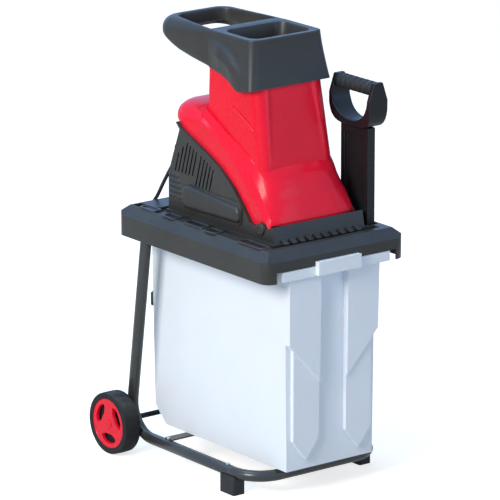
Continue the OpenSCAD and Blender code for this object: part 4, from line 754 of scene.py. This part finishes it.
# The mouth's rim in plan: rear and corner radius
MOUTH_RIM = (30.0, 18.0)
# The mouth's funnel: change of half-width, front and rear, corner radius, depth below the rim
FUNNEL = [(2.5, -2.5, 2.5, 24.0, 0.0), (0.7, -0.7, 0.7, 23.0, 0.7), (0.0, 0.0, 0.0, 22.5, 2.6),
          (-3.0, 4.0, -2.0, 20.0, 24.0), (-8.0, 4.0, -8.0, 18.0, 52.0), (-11.0, 3.0, -9.0, 16.0, 90.0),
          (-12.0, 0.0, -10.0, 14.0, 160.0)]


def rounded_ring(half, front, rear, radius, corner=8, along=12):
    """Rounded rectangle in plan, counted from the rear right corner through the front."""
    x, low, high = half - radius, front + radius, rear - radius
    ring = []
    for cx, cy, begin in ((x, high, 90), (x, low, 0), (-x, low, -90), (-x, high, -180)):
        ends = arc(cx, cy, radius, begin, begin - 90, corner)
        if ring:
            ring += between(ring[-1], ends[0], along)
        ring += ends
    return ring + between(ring[-1], ring[0], along)


def hopper_wall():
    """Outer wall of the hopper from the rim to the lower edge, round the front."""
    top = rounded_ring(*RIM_EDGE, WALL_FAR, 20.0, 8, 40)
    low = rounded_ring(*FOOT_EDGE, WALL_FAR, 16.0, 8, 40)
    rows = []
    for (x0, y0), (x1, y1) in zip(top, low):
        if y0 >= WALL_END:
            continue
        side, flank = math.copysign(1, x0), abs(x0) > FLANK_HALF
        foot = interpolate(HOPPER_EDGE, y1)
        x1 -= side * ramp(y1, *NARROW_ALONG) * WALL_NARROW
        edge = EDGE_ROUND[0] + EDGE_ROUND[1] * ramp(y0, *EDGE_ALONG)
        high, row = HOPPER_TOP - edge, []
        for out, up in arc(0.0, 0.0, edge, 90, 0, 4):
            back = edge - out
            row.append((x0 - side * back * flank, y0 + back * (not flank), high + up))
        for k in range(1, WALL_LEVELS + 1):
            share = k / WALL_LEVELS
            z = high + (foot - high) * share
            x = x0 + (x1 - x0) * share ** WALL_FLARE
            y = y0 + (y1 - y0) * share ** WALL_FLARE
            if flank:
                below = ease(ramp(interpolate(FLANK_RIDGE, y) - z, -RIDGE_BLEND, RIDGE_BLEND))
                fade = ramp(z - foot, 0, RIDGE_FOOT) * ramp(y, *RIDGE_FRONT) * ramp(y, *RIDGE_REAR)
                x += side * RIDGE_OUT * below * fade
            row.append((x, y, z))
        for inward, lift in LIP:
            row.append((x - side * inward * (abs(x0) > LIP_HALF), y + inward * (y0 < LIP_FRONT),
                        foot + lift))
        rows.append(row)
    return skin(rows, closed=False)


def hopper_mouth():
    """Flat rim round the mouth and the walls that lead down into the tower."""
    half, front, rear = MOUTH
    rim = rounded_ring(RIM_EDGE[0] - 3.0, RIM_EDGE[1] + 3.0, *MOUTH_RIM)
    rings = [(rim, 14.0), (rim, 0.0)]
    for wider, ahead, behind, radius, depth in FUNNEL:
        rings.append((rounded_ring(half + wider, front + ahead, rear + behind, radius), depth))
    return skin([[(x, y, HOPPER_TOP - depth) for x, y in ring] for ring, depth in rings])


def loop_line(wide, narrow, front, rear, radius, power):
    """Left half of the hand hole's edge or of the loop's outside, from its front to its middle."""
    bend, steps = rear - radius, 13
    line = [(-wide + (wide - narrow) * (k / steps) ** power, front + (bend - front) * k / steps)
            for k in range(steps)]
    line += arc(radius - narrow, bend, radius, 180, 90, 12)
    return line + between(line[-1], (0.0, rear), 5)


def loop_bar():
    """The carrying loop: rounded outside, with a slim wall round the hand hole."""
    inner, outer = loop_line(*HAND_HOLE), loop_line(*LOOP_OUTSIDE)
    inner += mirrored(inner)
    outer += mirrored(outer)
    high, rows = HOPPER_TOP - 0.2, []
    for (x0, y0), (x1, y1) in zip(inner, outer):
        low = interpolate(HOPPER_EDGE, y1)
        slim = max(low + 6, high - LOOP_SLIM[0] - LOOP_SLIM[1] * ramp(y0, *SLIM_ALONG))
        along = ramp(y1, *ROUND_ALONG)
        flat, drop = (first + gain * along for first, gain in (LOOP_FLAT, LOOP_DROP))
        # Share of the way from the hand hole to the outside, and height
        section = [(0.0, slim), (0.0, high - 4), (0.02, high - 1.4), (0.07, high), (flat, high)]
        for out, up in arc(0.0, 0.0, 1.0, 90, 0, 8)[1:]:
            section.append((flat + (1 - flat) * out, high - drop * (1 - up)))
        for out, down in arc(0.0, 0.0, 1.0, 0, 90, 6):
            section.append((0.75 + 0.25 * out, low + 12 - 12 * down))
        section += [(0.70, low + 1.5), (0.64, low + 0.5 * (slim - low)), (0.5, slim - 3),
                    (0.12, slim - 0.5)]
        rows.append([(x0 + (x1 - x0) * share, y0 + (y1 - y0) * share, z) for share, z in section])
    return skin(rows, caps=2)


def loop_bridge():
    """Rear rim of the mouth, between the mouth and the hand hole, down to the tower."""
    front = BRIDGE_FRONT
    # Along, and depth below the rim
    line = [(24.0, 3.0), (29.5, 0.4), (front - 2, 0.2), (front - 0.7, 0.6), (front, 1.8), (front, 6.0),
            (front + 1, 78.0), (front - 3, 80.0), (front - 4, 92.0)]
    rows = [[(BRIDGE_HALF * k / 4, y, HOPPER_TOP - depth) for y, depth in line] for k in range(-4, 5)]
    return skin(rows, closed=False)


class SHREDDER_OT_hopper(bpy.types.Operator):
    """Make the hopper: outer wall, rim, mouth and carrying loop"""

    bl_idname = "shredder.hopper"
    bl_label = "Hopper and loop"

    def execute(self, context):
        parts = [hopper_wall(), hopper_mouth(), loop_bar(), loop_bridge()]
        new_piece("hopper_shell", parts, "dark_plastic", "cover", ["hopper"], 42.0)
        return {"FINISHED"}


# Wheels

# Axle along and up, then the wheel's outer and inner side across, and its radii
AXLE = (232.0, 70.0)
WHEEL_OUT, WHEEL_IN = 232.0, 190.0
RIM_R, TYRE_R = 56.0, 70.0
# Half-width of a spoke, inner and outer radius of a window and its squareness, depth of face and back
SPOKE_HALF, HUB_EDGE, RING_EDGE, WINDOW_POWER = 13.5, 24.0, 46.5, 0.55
FACE_DEPTH, RIM_DEPTH = 2.5, 10.5


def wheel_point(side, x, radius, turn):
    """Point on a wheel: distance from the middle of the part, radius and angle."""
    return (side * x, AXLE[0] + radius * math.cos(turn), AXLE[1] + radius * math.sin(turn))


def full_turn(rounds):
    """Angles of a full turn in equal steps."""
    return [2 * math.pi * k / rounds for k in range(rounds)]


def wheel_turned(side, profile, rounds):
    """Part turned about the axle from a profile of (distance from the middle, radius)."""
    rows = [[wheel_point(side, x, r, turn) for turn in full_turn(rounds)] for x, r in profile]
    return skin(rows, lift=0.0)


def window_outline(middle, scale):
    """Outline of the window between two spokes, as radius and angle."""
    outline = []
    for turn in full_turn(36):
        u = signed_power(math.cos(turn), WINDOW_POWER) * scale
        v = signed_power(math.sin(turn), WINDOW_POWER) * scale
        radius = (HUB_EDGE + RING_EDGE) / 2 + v * (RING_EDGE - HUB_EDGE) / 2
        reach = math.radians(60) - math.asin(SPOKE_HALF / radius)
        outline.append((radius, middle + u * reach))
    return outline


def wheel_rim(side):
    """Three-spoke rim with dished windows, a flat hub and a ring inside the tyre."""
    work = bmesh.new()
    rounds = 96
    face, back = WHEEL_OUT - FACE_DEPTH, WHEEL_OUT - RIM_DEPTH
    front_edges, back_edges = [], []

    def edges_of(loop):
        pairs = zip(loop, loop[1:] + loop[:1])
        return [work.edges.get(pair) or work.edges.new(pair) for pair in pairs]

    def sleeve(outlines):
        """Wall over outlines of radius and angle, whose ends bound the front and the back."""
        rows = [[work.verts.new(wheel_point(side, x, r, a)) for r, a in line] for x, line in outlines]
        for first, second in zip(rows, rows[1:]):
            for k in range(len(first)):
                work.faces.new((first[k - 1], first[k], second[k], second[k - 1]))
        front_edges.extend(edges_of(rows[0]))
        back_edges.extend(edges_of(rows[-1]))

    # Place across, with the radius or with the window's scale
    outside = ((face, RIM_R - 2.5), (face + 1.2, RIM_R - 1.2), (face + 0.4, RIM_R), (back, RIM_R),
               (back, RIM_R - 3))
    sleeve([(x, [(r, a) for a in full_turn(rounds)]) for x, r in outside])
    window = ((face, 1.0), (face - 1.0, 0.95), (back + 1, 0.90), (back, 0.89))
    for middle in (30, 150, 270):
        sleeve([(x, window_outline(math.radians(middle), scale)) for x, scale in window])
    bmesh.ops.triangle_fill(work, use_beauty=True, edges=front_edges)
    bmesh.ops.triangle_fill(work, use_beauty=True, edges=back_edges)
    work.verts.index_update()
    points = [tuple(v.co) for v in work.verts]
    faces = [tuple(v.index for v in f.verts) for f in work.faces]
    work.free()
    hub = [(face - 1, 12.0), (face + 0.8, 12.0), (face + 1.4, 11.4), (face + 1.4, 0.4)]
    return [(points, faces), wheel_turned(side, hub, rounds)]


def wheel_tyre(side):
    """Tyre with a flat tread, crisp shoulders and a step beside the rim, and the web behind the rim."""
    middle, web_out = (WHEEL_OUT + WHEEL_IN) / 2, WHEEL_OUT - RIM_DEPTH
    half = [(WHEEL_OUT - 6, RIM_R), (WHEEL_OUT - 1.2, RIM_R + 0.2), (WHEEL_OUT - 0.2, RIM_R + 1.4),
            (WHEEL_OUT, RIM_R + 3.5), (WHEEL_OUT - 0.4, TYRE_R - 2.6), (WHEEL_OUT - 1.2, TYRE_R - 1.2),
            (WHEEL_OUT - 2.6, TYRE_R - 0.5), (middle + 10, TYRE_R - 0.1), (middle, TYRE_R)]
    whole = half + [(2 * middle - x, r) for x, r in reversed(half[:-1])]
    web = [(web_out - 4, RIM_R - 0.5), (web_out - 7, 30.0), (web_out - 4, 9.0)]
    return [wheel_turned(side, profile, 128) for profile in (whole, web)]


class SHREDDER_OT_wheels(bpy.types.Operator):
    """Make the two wheels: red rims with dished windows and dark tyres"""

    bl_idname = "shredder.wheels"
    bl_label = "Wheels"

    def execute(self, context):
        for side, word in ((-1, "left"), (1, "right")):
            wheel = word + "_wheel"
            new_piece(wheel + "_rim", wheel_rim(side), "red_gloss", wheel, [word + "_rim"], 28.0,
                      (0.0006, 2, 30.0))
            new_piece(wheel + "_tyre", wheel_tyre(side), "tyre_rubber", wheel, [word + "_tyre"], 26.0)
        return {"FINISHED"}


# Plunger handle

# Middle of the plunger across and along
PLUNGER = (145.0, -179.0)
HANDLE_LOW, HANDLE_BEND, HANDLE_HIGH = 777.8, 842.0, 882.0
# Half-lengths of the handle inside and outside the cheeks, and depth of the opening's round end
HANDLE_INSIDE, HANDLE_OUTSIDE, SADDLE_DEPTH = 60.0, 70.0, 52.0
GRIP_Z, GRIP_R, GRIP_HALF = 866.0, 16.4, 61.0
GROOVE_STEP, GROOVE_HALF, GROOVE_DEPTH = 17.4, 3.4, 3.6
CHEEK_ROWS = (HANDLE_HIGH, 870.0, 858.0, 848.0)
# Half-width of the handle's cheeks by height
CHEEK_WIDTH = [(777.0, 21.0), (796.0, 23.0), (822.0, 26.0), (842.0, 25.5), (882.0, 12.0)]


def handle_frame():
    """U-shaped frame of the handle: two cheeks joined by a round saddle."""
    stations = [(HANDLE_INSIDE, z, HANDLE_OUTSIDE, z) for z in CHEEK_ROWS]
    for c, s in arc(0.0, 0.0, 1.0, 0, 180, 22):
        outer_y = signed_power(c, 0.5) * HANDLE_OUTSIDE
        outer_z = HANDLE_BEND - (HANDLE_BEND - HANDLE_LOW) * abs(s) ** 0.5
        stations.append((HANDLE_INSIDE * c, HANDLE_BEND - SADDLE_DEPTH * s, outer_y, outer_z))
    stations += [(-HANDLE_INSIDE, z, -HANDLE_OUTSIDE, z) for z in reversed(CHEEK_ROWS)]
    rows = []
    for inner_y, inner_z, outer_y, outer_z in stations:
        corners = ((-1, inner_y, inner_z), (1, inner_y, inner_z), (1, outer_y, outer_z),
                   (-1, outer_y, outer_z))
        rows.append([(PLUNGER[0] + side * interpolate(CHEEK_WIDTH, z), PLUNGER[1] + y, z)
                     for side, y, z in corners])
    return skin(rows, caps=2, lift=0.0)


def handle_grip():
    """Grip between the cheeks, with soft ribs round it."""
    steps, rows = 180, []
    for k in range(steps + 1):
        y = GRIP_HALF * (2 * k / steps - 1)
        off_groove = abs((y + GROOVE_STEP / 2) % GROOVE_STEP - GROOVE_STEP / 2)
        groove = max(0.0, 1 - off_groove / GROOVE_HALF)
        radius = GRIP_R - GROOVE_DEPTH * groove ** 0.6 * (abs(y) < GRIP_HALF - 6)
        rows.append([(PLUNGER[0] + 0.94 * x, PLUNGER[1] + y, z)
                     for x, z in arc(0.0, GRIP_Z, radius, 0, 360, 32)[:-1]])
    return skin(rows, lift=0.0)


class SHREDDER_OT_plunger(bpy.types.Operator):
    """Make the plunger's handle frame and its ribbed grip"""

    bl_idname = "shredder.plunger"
    bl_label = "Plunger handle"

    def execute(self, context):
        new_piece("plunger_handle_frame", [handle_frame()], "black_plastic", "plunger",
                  ["plunger_handle"], bevel=(0.0018, 3, 38.0))
        new_piece("plunger_ribbed_grip", [handle_grip()], "black_rubber", "plunger", ["plunger_grip"],
                  50.0)
        return {"FINISHED"}


# Details of the base housing

BASE_X, BASE_REAR = 123.0, 146.0
# Bulge: stand-out and inset of each ring, then along, height, radius and first angle of each corner
BULGE_RINGS = [(-1.5, 0.0), (2.5, 0.0), (5.6, 0.9), (8.0, 2.8), (9.6, 5.4), (10.4, 8.2), (10.6, 10.8)]
BULGE_CORNERS = [(70.0, 50.0, 20.0, 0), (-100.0, 42.0, 15.0, 90), (-104.0, 33.0, 12.0, 180),
                 (74.0, 32.0, 16.0, 270)]
# Louvres: number, lowest edge and step upward, height, stand-out of the blade and of its flat top
LOUVRES, LOUVRE_LOW, LOUVRE_STEP, LOUVRE_TALL, LOUVRE_OUT, LOUVRE_SKIN = 5, 35.0, 11.8, 6.0, 4.0, 0.2
# How far before the housing's rear the lowest louvre begins and all end
LOUVRE_BEGIN, LOUVRE_END = 52.0, 4.0
# Round details: along, height, sides, then stand-out and radius of each row
HINGE_BOSS = (-182.0, 24.0, 40, [(-1.0, 14.0), (2.4, 14.0), (3.6, 13.0), (4.0, 11.5), (4.0, 8.0),
                                 (2.6, 7.4), (2.6, 0.3)])
SIDE_SCREW = (-82.5, 66.6, 24, [(0.0, 5.2), (0.7, 5.0), (0.7, 4.0), (-1.2, 3.6), (-1.2, 0.3)])


def side_bulge(side):
    """Rounded swelling low on the side of the base housing."""
    rows = [[(side * (BASE_X + out), y, z) for along, height, radius, begin in BULGE_CORNERS
             for y, z in arc(along, height, radius - inset, begin, begin + 90, 8)]
            for out, inset in BULGE_RINGS]
    return skin(rows, caps=1)


def side_louvre(side, index):
    """Wedge-shaped blade between two cooling grooves at the rear of the side."""
    y0, y1 = BASE_REAR - LOUVRE_BEGIN + 3 * index, BASE_REAR - LOUVRE_END
    low = LOUVRE_LOW + LOUVRE_STEP * index
    high, rows = low + LOUVRE_TALL, []
    for y, out in ((y0, LOUVRE_SKIN), (y0 + 5, LOUVRE_OUT), (y1 - 3, LOUVRE_OUT), (y1, LOUVRE_SKIN)):
        outline = ((-1, high), (LOUVRE_SKIN, high), (out, low + 0.8), (out, low), (-1, low))
        rows.append([(side * (BASE_X + x), y, z) for x, z in outline])
    return skin(rows, caps=2)


def side_disc(side, along, height, rounds, rows):
    """Turned boss or screw head on the side of the base housing."""
    rings = [(out, arc(along, height, radius, 0, 360, rounds)[:-1]) for out, radius in rows]
    return skin([[(side * (BASE_X + out), y, z) for y, z in ring] for out, ring in rings])


class SHREDDER_OT_base(bpy.types.Operator):
    """Make the base housing's side bulges, louvres, hinge bosses and screws"""

    bl_idname = "shredder.base"
    bl_label = "Base details"

    def execute(self, context):
        louvres = [side_louvre(side, k) for side in (-1, 1) for k in range(LOUVRES)]
        new_piece("base_side_bulges", both_sides(side_bulge), "dark_plastic", "stand", smooth=50.0)
        new_piece("base_louvres", louvres, "dark_plastic", "stand", bevel=(0.0004,))
        new_piece("base_hinge_bosses", both_sides(side_disc, *HINGE_BOSS), "dark_plastic", "stand")
        new_piece("base_side_screws", both_sides(side_disc, *SIDE_SCREW), "black_plastic", "stand")
        return {"FINISHED"}


# Details on the tray

# Pockets of both sides of the deck, and of the left side alone: middle across and along, sizes likewise
DECK_POCKETS = [(157.0, 86.0, 20.0, 36.0), (155.0, 1.0, 20.0, 56.0), (159.0, -64.0, 20.0, 34.0)]
LEFT_POCKETS = [(-156.0, -203.0, 20.0, 76.0), (-156.0, 168.0, 16.0, 44.0)]
# Growth and height of each ring of a pocket's raised frame and of its dished floor, which is black
# plastic as painted shade
FRAME_RINGS = [(6.0, -0.6), (5.6, 2.2), (4.6, 3.0), (1.2, 3.0), (0.3, 2.4), (0.0, -0.6)]
PAINTED_SHADE_RINGS = [(0.4, 1.6), (-1.0, 0.7), (-3.0, 0.35)]
POCKET_ROUND = 4.0
GUSSETS, GUSSET_STEP, GUSSET_HALF = 10, 22.0, 5.5


def pocket_rings(pocket, rings, rounding, caps):
    """Rings round a pocket in the deck; their corners take a part of their growth as rounding."""
    across, along, wide, long = pocket
    rows = []
    for grow, z in rings:
        half = long / 2 + grow
        ring = rounded_ring(wide / 2 + grow, -half, half, POCKET_ROUND + rounding * grow, 5, 4)
        rows.append([(across + x, along + y, z) for x, y in ring])
    return skin(rows, caps=caps)


def front_gusset(index):
    """Small three-cornered rib between the tray and the front of the base housing."""
    middle = (index - (GUSSETS - 1) / 2) * GUSSET_STEP
    front, rear = -246.0, -230.5
    outline = [(front, -0.4), (front, 1.0), (rear, 8.0), (rear, -0.4)]
    return skin([[(middle + x, y, z) for y, z in outline] for x in (-GUSSET_HALF, GUSSET_HALF)], caps=2)


class SHREDDER_OT_tray(bpy.types.Operator):
    """Make the pockets, with black floors as painted shade, and the front gussets on the tray"""

    bl_idname = "shredder.tray"
    bl_label = "Tray details"

    def execute(self, context):
        pockets = LEFT_POCKETS + [(side * x, y, w, n) for x, y, w, n in DECK_POCKETS for side in (-1, 1)]
        frames = [pocket_rings(pocket, FRAME_RINGS, 1.0, 0) for pocket in pockets]
        # Black pocket floors stand in for the shade inside deep pockets: painted shade
        painted_shade_floors = [pocket_rings(pocket, PAINTED_SHADE_RINGS, 0.0, 1) for pocket in pockets]
        gussets = [front_gusset(k) for k in range(GUSSETS)]
        new_piece("tray_pocket_frames", frames, "dark_plastic", "stand", smooth=40.0)
        new_piece("tray_pocket_floors", painted_shade_floors, "black_plastic", "stand", smooth=40.0)
        new_piece("tray_front_gussets", gussets, "dark_plastic", "stand", bevel=(0.0006,))
        return {"FINISHED"}


# CAD nodes whose shape stays: finish, edge rounding in millimetres, nodes
KEPT_NODES = [
    ("tube_paint", 0.4, "left_side_tube right_side_tube front_tube"),
    ("tube_paint", 0.6, "bin_strap"),
    ("tube_paint", 0.8, "axle_brackets"),
    ("black_rubber", 2.0, "left_front_foot right_front_foot"),
    ("dark_plastic", 0.6, "bin_rails discharge_chute"),
    ("dark_plastic", 0.8, "motor_cradle"),
    ("dark_plastic", 1.0, "base_housing"),
    ("dark_plastic", 1.2, "tray"),
    ("black_plastic", 0.4, "cooling_fan"),
    ("black_plastic", 0.5, "axle_spacers"),
    ("black_plastic", 0.6, "wheel_axle brush_holders safety_switch"),
    ("black_plastic", 0.8, "capacitor"),
    ("black_plastic", 1.2, "lock_knob switch_box"),
    ("black_plastic", 1.5, "plunger_paddle"),
    ("pale_plastic", 1.5, "bin"),
    ("steel", 0.3, "counter_knife blades"),
    ("steel", 0.4, "frame_screws tray_screws knife_screws blade_screws upper_bearing "
                   "lower_bearing motor_posts motor_screws hopper_screws lock_stud"),
    ("steel", 0.5, "hinge_pins hub_nut spindle"),
    ("plate_metal", 0.4, "deck_plate blade_disc"),
    ("core_iron", 0.4, "rotor_core stator_core"),
    ("copper", 0.4, "commutator"),
    ("copper", 0.8, "rotor_winding"),
    ("copper", 1.0, "field_coils"),
    ("green_button", 0.8, "on_button"),
    ("red_button", 0.8, "off_button"),
]


class SHREDDER_OT_kept_nodes(bpy.types.Operator):
    """Give the CAD nodes whose shape stays their finish and rounded edges"""

    bl_idname = "shredder.kept_nodes"
    bl_label = "Frame, motor and small pieces"

    def execute(self, context):
        for material, bevel, nodes in KEPT_NODES:
            for node in nodes.split():
                dress(node, material, bevel)
        return {"FINISHED"}


class SHREDDER_PT_panel(bpy.types.Panel):
    """Lists the operators and the values of the shredder"""

    bl_idname = "SHREDDER_PT_panel"
    bl_label = "Garden shredder"
    bl_space_type = "VIEW_3D"
    bl_region_type = "UI"
    bl_category = "Shredder"

    def draw(self, context):
        layout = self.layout
        for operator in OPERATORS:
            layout.operator(operator.bl_idname)
        for group in (context.scene.shredder_sizes, context.scene.shredder_colours):
            box = layout.box()
            for label in group.__annotations__:
                box.prop(group, label)


OPERATORS = (
    SHREDDER_OT_stage,
    SHREDDER_OT_lead,
    SHREDDER_OT_cover,
    SHREDDER_OT_hopper,
    SHREDDER_OT_wheels,
    SHREDDER_OT_plunger,
    SHREDDER_OT_base,
    SHREDDER_OT_tray,
    SHREDDER_OT_kept_nodes,
)
CLASSES = (ShredderSizes, ShredderColours, *OPERATORS, SHREDDER_PT_panel)


def register():
    for cls in CLASSES:
        bpy.utils.register_class(cls)
    bpy.types.Scene.shredder_sizes = PointerProperty(type=ShredderSizes)
    bpy.types.Scene.shredder_colours = PointerProperty(type=ShredderColours)


def unregister():
    del bpy.types.Scene.shredder_colours
    del bpy.types.Scene.shredder_sizes
    for cls in reversed(CLASSES):
        bpy.utils.unregister_class(cls)


def main():
    register()
    for operator in OPERATORS:
        group, name = operator.bl_idname.split(".")
        getattr(getattr(bpy.ops, group), name)()


if __name__ == "__main__":
    main()
